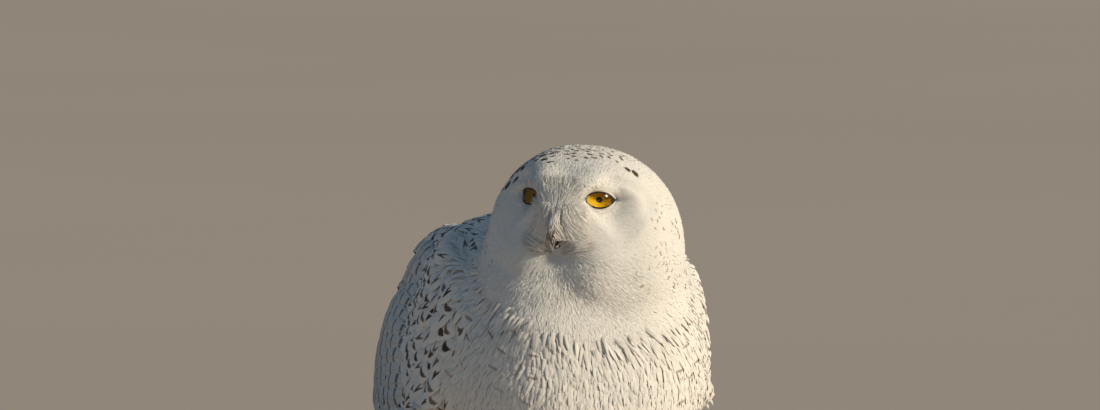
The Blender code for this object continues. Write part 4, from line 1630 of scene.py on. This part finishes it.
@dataclass
class Eye:
    """One golden eye: a dark ball with a dished iris, a clear cornea and dark-rimmed lids."""

    ball_radius: float = 0.0138
    ball_points: int = 24
    iris_radius: float = 0.0087
    iris_height: float = 0.0107
    iris_points: int = 12
    iris_bow: float = 0.9
    iris_step: float = 0.0002
    pupil_radius: float = 0.0018
    pupil_height: float = 0.0080
    pupil_floor: tuple[Pair, Pair] = ((0.97, 0.0004), (0.0, 0.0005))
    gaze: dict[str, float] = field(default_factory=lambda: {"left": 0.0, "right": 0.15})
    crescent: dict[str, float] = field(default_factory=lambda: {"left": 0.0, "right": 0.28})
    crescent_reach: Pair = (0.2, 0.55)
    cornea_edge: float = 0.0113
    cornea_points: int = 18
    cornea_back: tuple[Pair, ...] = (
        (0.0, 0.0052), (0.0050, 0.0053), (0.0088, 0.0058), (0.0106, 0.0068)
    )
    lid_rows: tuple[tuple[float, float, bool], ...] = (
        (-0.0007, -0.0014, True),
        (-0.0004, 0.0001, True),
        (-0.0001, 0.0004, True),
        (0.0003, 0.0005, True),
        (0.0007, 0.0004, True),
        (0.0011, 0.0005, False),
        (0.0017, 0.0003, False),
        (0.0026, -0.0006, False),
        (0.0036, -0.0020, False),
    )
    lid_steps: int = 96
    fold_height: float = 0.0007
    fold_place: Pair = (0.0018, 0.0010)

    def build(self, side: str, finish: dict[str, Material]) -> None:
        """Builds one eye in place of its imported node.

        Args:
            side: "left" or "right".
            finish: The materials of ball, iris, pupil, rim, lid and cornea.
        """
        axes = EYES[side]
        turn = self.gaze[side]
        look = Axes(
            axes.centre,
            axes.side * math.cos(turn) + axes.ahead * math.sin(turn),
            axes.ahead * math.cos(turn) - axes.side * math.sin(turn),
            axes.up,
        )
        eye = self._ball(side, look)
        for part in ("ball", "iris", "pupil"):
            eye.data.materials.append(finish[part])
        self._share_out(eye, look, self.crescent[side])
        finish_piece(eye, finish["ball"], [f"eye_{side}"])
        finish_piece(self._cornea(side, axes), finish["cornea"])
        lids = self._lids(side, axes)
        for part in ("rim", "lid"):
            lids.data.materials.append(finish[part])
        slots = [0 if dark else 1 for _, _, dark in self.lid_rows[1:]]
        slots = np.repeat(slots, self.lid_steps).astype(np.int32)
        lids.data.polygons.foreach_set("material_index", slots)
        finish_piece(lids, finish["rim"])

    def _ball(self, side: str, axes: Axes) -> Object:
        """Returns the ball with its dished iris and pupil."""
        rim = math.asin(self.iris_radius / self.ball_radius)
        profile = arc(self.ball_radius, 0.0, math.pi, rim, self.ball_points)
        profile[0] = (0.0, -self.ball_radius)
        profile[-1] = (self.iris_radius + self.iris_step, self.iris_height + self.iris_step)
        for t in np.linspace(0.0, 1.0, self.iris_points):
            radius = self.iris_radius + (self.pupil_radius - self.iris_radius) * t
            sunk = (self.pupil_height - self.iris_height) * t**self.iris_bow
            profile.append((radius, self.iris_height + sunk))
        for share, drop in self.pupil_floor:
            profile.append((self.pupil_radius * share, self.pupil_height - drop))
        return lathe(f"eyeball_{side}", profile, axes)

    def _share_out(self, eye: Object, axes: Axes, crescent: float) -> None:
        """Gives ball, iris and pupil their faces and the iris its own measure."""
        mesh = eye.data
        x, _, y = axes.local(np.array([v.co for v in mesh.vertices])).T
        radius = np.hypot(x, y)
        turn_x, turn_y = (part / np.maximum(radius, 1e-6) for part in (x, y))
        reach = (radius - self.pupil_radius) / (self.iris_radius - self.pupil_radius)
        reach = reach + crescent * np.clip(turn_x, 0, 1) ** 1.5 * ease(*self.crescent_reach, reach)
        add_vectors(mesh, "iris", np.stack([turn_x, turn_y, reach], 1))
        for face in mesh.polygons:
            x, z, y = axes.local(np.array(face.center))
            radius = math.hypot(x, y)
            if z > 0.5 * self.iris_height and radius < self.iris_radius:
                face.material_index = 1 if radius > self.pupil_radius else 2

    def _cornea(self, side: str, axes: Axes) -> Object:
        """Returns the clear dome, closed behind the iris inside the ball."""
        radius, centre = APERTURE.dome_radius, APERTURE.dome_centre
        edge = math.asin(self.cornea_edge / radius)
        profile = [*self.cornea_back, *arc(radius, centre, edge, 0.0, self.cornea_points)]
        profile[-1] = (0.0, centre + radius)
        return lathe(f"cornea_{side}", profile, axes)

    def _lids(self, side: str, axes: Axes) -> Object:
        """Returns the ring of both lids, dark at its rim, with a fold in the upper one."""
        edge, out = APERTURE.edge(self.lid_steps)
        front = APERTURE.front(*edge.T)
        middle, width = self.fold_place
        rows = []
        for gap, height, dark in self.lid_rows:
            place = edge + out * gap
            fold = self.fold_height * np.clip(out[:, 1], 0, 1)
            fold = fold * bump(gap - middle, width) * (not dark)
            level = front * 0.6 + APERTURE.front(*place.T) * 0.4
            rows.append(axes.world(np.stack([place[:, 0], level + height + fold, place[:, 1]], 1)))
        n = self.lid_steps
        ring = np.arange(n)
        after = (ring + 1) % n
        quad = np.stack([ring, after, after + n, ring + n], 1)
        faces = np.concatenate([quad + r * n for r in range(len(rows) - 1)])
        if side == "left":
            faces = faces[:, ::-1]
        return piece_from_arrays(f"lids_{side}", np.concatenate(rows), [faces])


# ------------------------ bristles


@dataclass(frozen=True)
class Tract:
    """One group of bristles beside the bill.

    Side is the innermost root's place and the others' spread, bend the turn over a bristle's
    length, and lift its height over the face in the middle and at the tip.
    """

    count: int
    side: Pair
    up: Pair
    length: Pair
    bend: float
    lift: Pair

    def places(self, rng: Rng) -> tuple[Array, Array]:
        """Returns how far out each root lies, from 0 to 1, and its height."""
        return rng.random(self.count), rng.uniform(*self.up, self.count)

    def lengths(self, rng: Rng) -> Array:
        """Returns the lengths."""
        return rng.uniform(*self.length, self.count)


BRIDGE = Tract(220, (0.0001, 0.0046), (0.0190, 0.0350), (0.0085, 0.0150), -0.16, (0.0014, 0.0005))
FAN = Tract(980, (0.0006, 0.0091), (0.009, 0.036), (0.0105, 0.0195), -0.55, (0.0022, 0.0009))
WHISKERS = Tract(320, (0.0014, 0.0065), (-0.005, 0.0065), (0.013, 0.023), -0.34, (0.002, 0.0012))
CHIN = Tract(150, (0.0024, 0.0055), (-0.0060, -0.0015), (0.0190, 0.0280), -0.26, (0.0030, 0.0016))
COVER = Tract(40, (0.0012, 0.0036), (0.0070, 0.0130), (0.0060, 0.0100), -0.20, (0.0014, 0.0007))
FOREHEAD = Tract(720, (0.0, 0.0112), (0.026, 0.046), (0.0070, 0.0115), 0.26, (0.0013, 0.0008))


@dataclass
class Bristles:
    """The long silky bristles between the eyes, which hide all of the bill but its tip."""

    width: Pair = (0.00038, 0.00068)
    root_depth: float = 0.0003
    fall: float = 0.42
    roll: float = 0.3
    middle: tuple[float, float, float] = (0.0, 0.012, 0.018)
    greyed: float = 0.11
    grey: Pair = (0.10, 0.34)
    bill_tip: float = 0.0048
    tip_reach: float = 0.0058
    tipped: float = 0.75
    tip_grey: Pair = (0.60, 0.95)
    tip_start: float = 0.80
    tip_fade: float = 3.2
    sight: float = 0.13

    def build(self, skin: Skin, material: Material) -> Object:
        """Returns both sides' bristles as one piece."""
        rng = np.random.default_rng(SEED + 1)
        self.tree = self._face_tree(skin)
        spines = np.concatenate([part for sign in (1, -1) for part in self._side(sign, rng)])
        n = len(spines)
        normals = unit(spines - HEAD.world(self.middle))
        widths = rng.uniform(*self.width, n)
        seeds = rng.random(n)
        grey = np.where(rng.random(n) < self.greyed, rng.uniform(*self.grey, n), 0.0)
        side, _, up = HEAD.local(spines[:, -1]).T
        near = np.hypot(side, up - self.bill_tip) < self.tip_reach
        by_tip = near & (rng.random(n) < self.tipped)
        grey = np.where(by_tip, rng.uniform(*self.tip_grey, n), grey)
        face = [skin.tree.find_nearest(Vector(p))[2] for p in spines[:, 0]]

        def extra(points: Array, cross: Array, down: Array) -> dict[str, Array]:
            """Returns a mark that greys some bristles all along and darkens others' tips."""
            mark = np.zeros(points.shape)
            fade = np.where(by_tip, self.tip_fade, 0.0)[:, None]
            mark[..., 0] = fade * np.clip(self.tip_start - down[None], 0, 1)
            mark[..., 2] = grey[:, None]
            return {"mark": mark}

        uv = skin.uv[np.array(face)].mean(1)
        roll = rng.normal(0, self.roll, n)
        piece = BRISTLE.build("bristles", spines, normals, widths, uv, seeds, extra, roll)
        return finish_piece(piece, material)

    @staticmethod
    def _face_tree(skin: Skin) -> BVHTree:
        """Returns a search tree of face and bill together."""
        corners, faces = node_faces(("bill_upper", "bill_lower"), len(skin.points))
        return BVHTree.FromPolygons(skin.points.tolist() + corners, skin.triangles.tolist() + faces)

    def _ahead(self, side: float, up: float, before: float) -> float:
        """Returns how far ahead the face lies at a place seen from the front."""
        start = HEAD.world(np.array([side, self.sight, up]))
        place = self.tree.ray_cast(Vector(start), Vector(-HEAD.ahead), self.sight)[0]
        return before if place is None else float(HEAD.local(np.array(place))[1])

    def _draped(
        self, roots: Array, ways: Array, bends: Array, lengths: Array, lifts: Array
    ) -> Array:
        """Returns spines that lie over the face and bill.

        Args:
            roots: Side and height of each root.
            ways: The angle at each root, from straight down.
            bends: How much the angle changes over the length.
            lengths: The lengths.
            lifts: The height over the face in the middle and at the tip.
        """
        stations = np.array([*BRISTLE.stations, 1.0])
        spines = np.empty((len(roots), len(stations), 3))
        bristles = zip(roots, ways, bends, lengths, lifts)
        for i, (root, way, bend, length, lift) in enumerate(bristles):
            place = root.copy()
            ahead = self._ahead(*place, 0.06)
            spines[i, 0] = (place[0], ahead - self.root_depth, place[1])
            for k in range(1, len(stations)):
                t = stations[k]
                step = (t - stations[k - 1]) * length
                angle = way + bend * (t + stations[k - 1]) / 2
                place += step * np.array([math.sin(angle), -math.cos(angle)])
                rise = lift[0] * math.sin(math.pi * min(t, 0.5))
                rise += (lift[1] - lift[0]) * max(0.0, 2 * t - 1)
                ahead = max(self._ahead(*place, ahead) + rise, ahead - self.fall * step)
                spines[i, k] = (place[0], ahead, place[1])
        return HEAD.world(spines)

    def _grow(
        self, tract: Tract, sign: int, out: Array, up: Array, ways: Array, lengths: Array, rng: Rng
    ) -> Array:
        """Returns one tract's spines, with sign 1 on the left and -1 on the right."""
        start, spread = tract.side
        roots = np.stack([sign * (start + spread * out), up], 1)
        lifts = np.array(tract.lift)[None] * rng.uniform(0.5, 1.5, (tract.count, 2))
        bends = sign * tract.bend * rng.uniform(0.4, 1.6, tract.count)
        return self._draped(roots, sign * ways, bends, lengths, lifts)

    def _side(self, sign: int, rng: Rng) -> list[Array]:
        """Returns the spines of one side's tracts, with ways as angles from straight down."""
        out, up = BRIDGE.places(rng)
        ways = 0.02 + 0.26 * out + rng.normal(0, 0.07, BRIDGE.count)
        spines = [self._grow(BRIDGE, sign, out, up, ways, up - BRIDGE.lengths(rng), rng)]
        out, up = FAN.places(rng)
        out = out**0.9
        turn = 10 + (52 if sign > 0 else 46) * out + 24 * ease(0.024, 0.008, up)
        ways = np.radians(turn) + rng.normal(0, 0.12, FAN.count)
        length = FAN.lengths(rng)
        length = np.where(out < 0.40, np.minimum(length, np.maximum(up - 0.0050, 0.0048)), length)
        spines.append(self._grow(FAN, sign, out, up, ways, length, rng))
        for tract, least, most in ((WHISKERS, 92, 130), (CHIN, 112, 132)):
            out, up = tract.places(rng)
            ways = np.radians(rng.uniform(least, most, tract.count))
            spines.append(self._grow(tract, sign, out, up, ways, tract.lengths(rng), rng))
        out, up = COVER.places(rng)
        ways = np.radians(-6 + 18 * out) + rng.normal(0, 0.10, COVER.count)
        spines.append(self._grow(COVER, sign, out, up, ways, COVER.lengths(rng), rng))
        out, high = rng.random(FOREHEAD.count), rng.random(FOREHEAD.count) ** 2.2
        up = FOREHEAD.up[0] + (FOREHEAD.up[1] - FOREHEAD.up[0]) * high
        turn = np.radians((86 - 60 * high**0.8) * (0.10 + 0.90 * out**0.6))
        ways = math.pi - turn - rng.normal(0, 0.16, FOREHEAD.count)
        length = FOREHEAD.lengths(rng) + 0.0025 * ease(0.6, 0.1, high)
        spines.append(self._grow(FOREHEAD, sign, out, up, ways, length, rng))
        return spines


# ------------------------ bill and claws


class HornParts:
    """The bill's two halves and the eight claws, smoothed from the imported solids."""

    levels = 2
    bill = Horn("bill_horn")
    claw = Horn("claw_horn", dark=(0.010, 0.010, 0.011), worn=(0.060, 0.056, 0.052))

    def build(self) -> None:
        """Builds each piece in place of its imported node, and keeps it above the floor."""
        finishes = {"bill": self.bill.material(), "claw": self.claw.material()}
        for node in frame["nodes"]:
            kind = node.split("_")[0]
            if kind not in finishes:
                continue
            piece = merged_copy(node, f"{node}_horn")
            apply_modifier(piece, "SUBSURF", levels=self.levels, render_levels=self.levels)
            piece.data.shade_smooth()
            for vertex in piece.data.vertices:
                vertex.co.z = max(vertex.co.z, 0.0)
            finish_piece(piece, finishes[kind], [node])


# ------------------------ wings and tail


@dataclass(frozen=True)
class Row:
    """One row of long feathers on a folded wing, with values at its lowest and highest feather.

    Start and end lie along the body, and levels run from 0 at the wing's lower edge to 1 at its
    upper one. Fade is how dark the bars are.
    """

    count: int
    start: Pair
    end: Pair
    start_level: Pair
    end_level: Pair
    width: float
    lift: float
    bend: float
    fade: float


WING_ROWS = (
    Row(9, (0.020, 0.070), (0.168, 0.2245), (0.16, 0.62), (0.05, 0.90), 0.0185, 0.0002, 0.03, 1.0),
    Row(12, (-0.072, 0.0), (0.078, 0.150), (0.12, 0.80), (0.035, 0.93), 0.0235, 0.0009, 0.04, 0.95),
    Row(12, (-0.092, -0.045), (0.006, 0.060), (0.10, 0.82), (0.05, 0.88), 0.02, 0.0017, 0.03, 0.85),
    Row(12, (-0.1, -0.078), (-0.042, -0.005), (0.1, 0.78), (0.06, 0.84), 0.018, 0.0023, 0.02, 0.80),
)


@dataclass
class Wing:
    """A folded wing's long feathers, laid on its surface as rays find it round the body's axis."""

    side: str
    span: Pair = (-0.17, 0.2235)
    places: int = 72
    sweep: tuple[float, float, float] = (2.0, 172.0, 1.5)
    axis: Pair = (0.090, -0.070)
    sight: float = 0.3
    nudges: tuple[float, ...] = (0.0, 0.01, -0.01, 0.03, -0.03, 0.06, -0.06, 0.12, -0.12)
    levels: Pair = (0.01, 0.985)
    start_scatter: float = 0.0015
    end_scatter: float = 0.0018
    last: float = 0.2245
    overlap: float = 0.0007
    root_depth: float = 0.0018

    def _survey(self) -> None:
        """Finds the wing's lower and upper edges at each place along the body."""
        parts = ("coverts", "secondaries", "primaries")
        self.tree = BVHTree.FromPolygons(*node_faces(f"wing_{self.side}_{part}" for part in parts))
        self.sign = 1 if self.side == "left" else -1
        self.along = np.linspace(*self.span, self.places)
        angles = np.radians(np.arange(*self.sweep))
        edges = []
        for y in self.along:
            hit = [a for a in angles if self._cast(y, a)[0] is not None]
            edges.append((hit[-1], hit[0]) if hit else edges[-1])
        self.edges = np.array(edges)

    def _cast(self, y: float, angle: float) -> tuple[Optional[Vector], Optional[Vector]]:
        """Returns the wing's outer point and normal at an angle from straight up."""
        axis = Vector((0.0, y, self.axis[0] + self.axis[1] * float(ease(0.03, 0.22, y))))
        out = Vector((self.sign * math.sin(angle), 0.0, math.cos(angle)))
        place, normal, _, _ = self.tree.ray_cast(axis + out * self.sight, -out, self.sight)
        return place, normal

    def _place(self, y: float, level: float) -> tuple[Array, Array]:
        """Returns a point of the outer surface and the way out there."""
        low, high = (np.interp(y, self.along, self.edges[:, i]) for i in (0, 1))
        angle = low + (high - low) * level
        for nudge in self.nudges:
            place, normal = self._cast(y, angle + nudge)
            if place is not None:
                out = np.array([self.sign * math.sin(angle), 0.0, math.cos(angle)])
                return np.array(place), unit(np.array(normal) + 0.6 * out)
        raise ValueError(f"no wing at {y:.3f}, {level:.2f}")

    def _spines(self, row: Row, rng: Rng) -> tuple[Array, Array, Array]:
        """Returns a row's spines, normals and widths, from the lowest feather to the highest."""
        stations = np.array([*FLIGHT.stations, 1.0])
        sunk = self.root_depth * ease(0.3, 0.0, stations)
        spines, normals = [], []
        for i in range(row.count):
            t = i / (row.count - 1)
            pairs = (row.start, row.end, row.start_level, row.end_level)
            start, end, low, high = (a + (b - a) * t for a, b in pairs)
            start += rng.normal(0, self.start_scatter)
            end += rng.normal(0, self.end_scatter)
            points, outs = [], []
            for v in stations:
                y = min(start + (end - start) * v, self.last)
                level = low + (high - low) * v + row.bend * math.sin(math.pi * v)
                place, out = self._place(y, float(np.clip(level, *self.levels)))
                points.append(place)
                outs.append(out)
            points, outs = self._smoothed(np.array(points)), unit(self._smoothed(np.array(outs)))
            rise = row.lift * ease(0.0, 0.45, stations) + self.overlap * t - sunk
            spines.append(points + outs * (rise - tuck(points))[:, None])
            normals.append(outs)
        return np.array(spines), np.array(normals), row.width * rng.uniform(0.94, 1.06, row.count)

    @staticmethod
    def _smoothed(values: Array) -> Array:
        """Returns values evened along the feather, its ends kept."""
        for _ in range(3):
            values[1:-1] = 0.25 * values[:-2] + 0.5 * values[1:-1] + 0.25 * values[2:]
        return values

    def build(self, skin: Skin, material: Material) -> Object:
        """Returns the wing's long feathers as one piece."""
        self._survey()
        rng = np.random.default_rng(SEED + (2 if self.side == "left" else 3))
        sets = [self._spines(row, rng) for row in WING_ROWS]
        spines, normals, widths = (np.concatenate(g) for g in zip(*sets))
        fades = np.repeat([row.fade for row in WING_ROWS], [row.count for row in WING_ROWS])
        name = f"wing_feathers_{self.side}"
        piece = long_feathers(name, spines, normals, widths, fades, skin, rng)
        return finish_piece(piece, material)


def long_feathers(
    name: str, spines: Array, normals: Array, widths: Array, fades: Array, skin: Skin,
    rng: Rng,
) -> Object:
    """Returns long feathers as one piece, with their reach along the shaft kept for the bars.

    Args:
        name: The piece's name.
        spines: Points along each shaft.
        normals: The outward directions there.
        widths: The feathers' widths.
        fades: How dark each feather's bars are.
        skin: The skin, for the places on its map.
        rng: The source of chance.
    """
    steps = np.linalg.norm(np.diff(spines, axis=1), axis=2)
    metres = np.concatenate([np.zeros((len(spines), 1)), np.cumsum(steps, 1)], 1)
    m = len(FLIGHT.across)
    _, _, face, _ = zip(*(skin.tree.find_nearest(Vector(p)) for p in spines[:, 2]))

    def extra(points: Array, cross: Array, down: Array) -> dict[str, Array]:
        """Returns the distance from the root and to the tip, and the bars' darkness."""
        far = np.concatenate([np.repeat(metres[:, :-1], m, 1), metres[:, -1:]], 1)
        left = metres[:, -1:] - far
        fade = np.broadcast_to(fades[:, None], far.shape)
        return {"reach": np.stack([far, left, fade], -1)}

    seeds = rng.random(len(spines))
    uv = skin.uv[np.array(face)].mean(1)
    return FLIGHT.build(name, spines, normals, widths, uv, seeds, extra)


@dataclass
class Tail:
    """Twelve tail feathers, fanned a little, the middle pair on top."""

    count: int = 12
    start_y: float = 0.092
    end_y: float = 0.2515
    rounding: float = 0.010
    scatter: float = 0.001
    start_half: float = 0.014
    end_half: float = 0.0335
    width: float = 0.0255
    lift: float = 0.0004
    overlap: float = 0.0022
    fall: float = 0.003
    fade: float = 0.9

    def build(self, skin: Skin, material: Material) -> Object:
        """Returns the tail's feathers as one piece."""
        tree = BVHTree.FromPolygons(*node_faces(["tail"]))
        rng = np.random.default_rng(SEED + 4)
        spines = []
        for i in range(self.count):
            t = 2 * i / (self.count - 1) - 1
            end = self.end_y - self.rounding * t * t + rng.normal(0, self.scatter)
            points = []
            for v in (*FLIGHT.stations, 1.0):
                x = t * (self.start_half + (self.end_half - self.start_half) * v)
                y = self.start_y + (end - self.start_y) * v
                place = tree.ray_cast(Vector((x, y, 0.3)), Vector((0, 0, -1)))[0]
                z = place.z if place else points[-1][2] - self.fall
                rise = self.overlap * (1 - abs(t)) * ease(-0.2, 0.3, v)
                points.append((x, y, z + self.lift + rise))
            spines.append(points)
        spines = np.array(spines)
        normals = np.tile(unit(np.array([0.0, 0.27, 1.0])), (*spines.shape[:2], 1))
        widths = self.width * rng.uniform(0.95, 1.05, self.count)
        fades = np.full(self.count, self.fade)
        piece = long_feathers("tail_feathers", spines, normals, widths, fades, skin, rng)
        return finish_piece(piece, material)


# ------------------------ camera, light and floor


@dataclass
class Stage:
    """A pale floor, a low warm key on the owl's left, a cool fill and a long lens."""

    azimuth: float = 17.0
    elevation: float = 3.0
    lens: float = 400.0
    sensor: float = 36.0
    distance: float = 8.8
    aim_side: float = -0.0252
    aim_up: float = 0.0281
    floor: tuple[Colour, Colour] = ((0.52, 0.44, 0.37), (0.63, 0.54, 0.46))
    key_way: Pair = (-45.0, 22.0)
    key_colour: Colour = (1.0, 0.87, 0.67)
    key_spread: float = 8.0
    key_power: float = 3.5
    fill_way: Pair = (80.0, 35.0)
    fill_colour: Colour = (0.70, 0.82, 1.0)
    fill_size: float = 1.8
    fill_power: float = 2.0
    air_colour: Colour = (0.40, 0.68, 1.0)
    air_power: float = 0.16

    @staticmethod
    def _from(azimuth: float, elevation: float) -> Vector:
        """Returns the direction of a place seen from the owl, azimuth to its camera left."""
        a, e = math.radians(azimuth), math.radians(elevation)
        return Vector((-math.sin(a) * math.cos(e), -math.cos(a) * math.cos(e), math.sin(e)))

    def _camera(self) -> None:
        """Sets the camera."""
        data = bpy.data.cameras.new("camera")
        data.lens = self.lens
        data.sensor_width = self.sensor
        data.clip_start = 0.1
        data.clip_end = 200.0
        camera = placed("camera", data)
        back = self._from(self.azimuth, self.elevation)
        turn = (-back).to_track_quat("-Z", "Y")
        shift = turn @ Vector((self.aim_side, self.aim_up, 0.0))
        camera.rotation_mode = "QUATERNION"
        camera.rotation_quaternion = turn
        camera.location = Vector(HEAD.centre) + back * self.distance + shift
        bpy.context.scene.camera = camera

    @staticmethod
    def _lamp(name: str, kind: str, way: Vector, power: float, colour: Colour) -> bpy.types.Light:
        """Returns a new lamp that shines on the head from this way."""
        data = bpy.data.lights.new(name, kind)
        data.energy = power
        data.color = colour
        lamp = placed(name, data)
        lamp.location = Vector(HEAD.centre) + way
        lamp.rotation_mode = "QUATERNION"
        lamp.rotation_quaternion = way.to_track_quat("Z", "Y")
        return data

    def build(self) -> None:
        """Makes floor, lamps, world and camera."""
        bpy.ops.mesh.primitive_plane_add(size=80.0, location=(0.0, 0.0, 0.0))
        floor = bpy.context.view_layer.objects.active
        floor.name = "floor"
        g = Graph("pale_floor")
        colour = g.mixed(g.noise(g.places(), 0.35), *self.floor)
        floor.data.materials.append(g.dress(Base_Color=colour, Roughness=0.95))
        way = self._from(*self.key_way) * 3.0
        key = self._lamp("key", "SUN", way, self.key_power, self.key_colour)
        key.angle = math.radians(self.key_spread)
        way = self._from(*self.fill_way) * 2.6
        fill = self._lamp("fill", "AREA", way, self.fill_power, self.fill_colour)
        fill.shape = "DISK"
        fill.size = self.fill_size
        world = bpy.data.worlds.new("soft_air")
        bpy.context.scene.world = world
        world.use_nodes = True
        air = world.node_tree.nodes["Background"]
        air.inputs["Color"].default_value = (*self.air_colour, 1.0)
        air.inputs["Strength"].default_value = self.air_power
        bpy.context.scene.view_settings.view_transform = "Standard"
        self._camera()
        log.info("stage, lamps and camera set")


def dress_skin(skin: Skin, marks: Markings, plumage: Material) -> None:
    """Gives the skin the attributes that its finish reads, and ties it to the frame."""
    local = marks.local(skin.points[:, None], marks.nearest(skin.points))[:, 0]
    far = np.clip(np.hypot(local[:, 0], local[:, 1]), 0, FAR)
    none = np.zeros(len(far))
    add_vectors(skin.obj.data, "mark", np.stack([far, none, local[:, 2]], 1))
    # A down of 0.35 gives the skin part of the plumage's painted root shade.
    add_vectors(skin.obj.data, "vane", np.stack([none, none + 0.35, none + 0.5], 1))
    finish_piece(skin.obj, plumage, list(FLESH))


def eye_finishes() -> dict[str, Material]:
    """Returns the materials of the eyes' parts."""
    looks = {
        "iris": Iris(),
        "ball": Plain("eye_dark", (0.010, 0.007, 0.006), (0.022, 0.015, 0.012), 0.30),
        "pupil": Plain("pupil_black", (0.001, 0.001, 0.001), (0.002, 0.002, 0.002), 0.60),
        "rim": Plain("lid_rim", (0.008, 0.006, 0.006), (0.020, 0.015, 0.014), 0.35, coat=0.3),
        "lid": Plain("lid_skin", (0.66, 0.58, 0.52), (0.80, 0.74, 0.68), 0.65),
        "cornea": Cornea(),
    }
    return {part: look.material() for part, look in looks.items()}


def main() -> None:
    """Builds the owl and its stage."""
    logging.basicConfig(level=logging.INFO, format="%(message)s")
    Stage().build()
    skin = Skin()
    skin.build()
    marks = place_markings(skin, np.random.default_rng(SEED))
    plumage = Plumage().material()
    dress_skin(skin, marks, plumage)
    Plume(skin, marks, plumage).build()
    Bristles().build(skin, plumage)
    barred = FlightFeather().material()
    for side in ("left", "right"):
        Wing(side).build(skin, barred)
    Tail().build(skin, barred)
    finishes = eye_finishes()
    for side in ("left", "right"):
        Eye().build(side, finishes)
    HornParts().build()


if __name__ == "__main__":
    main()
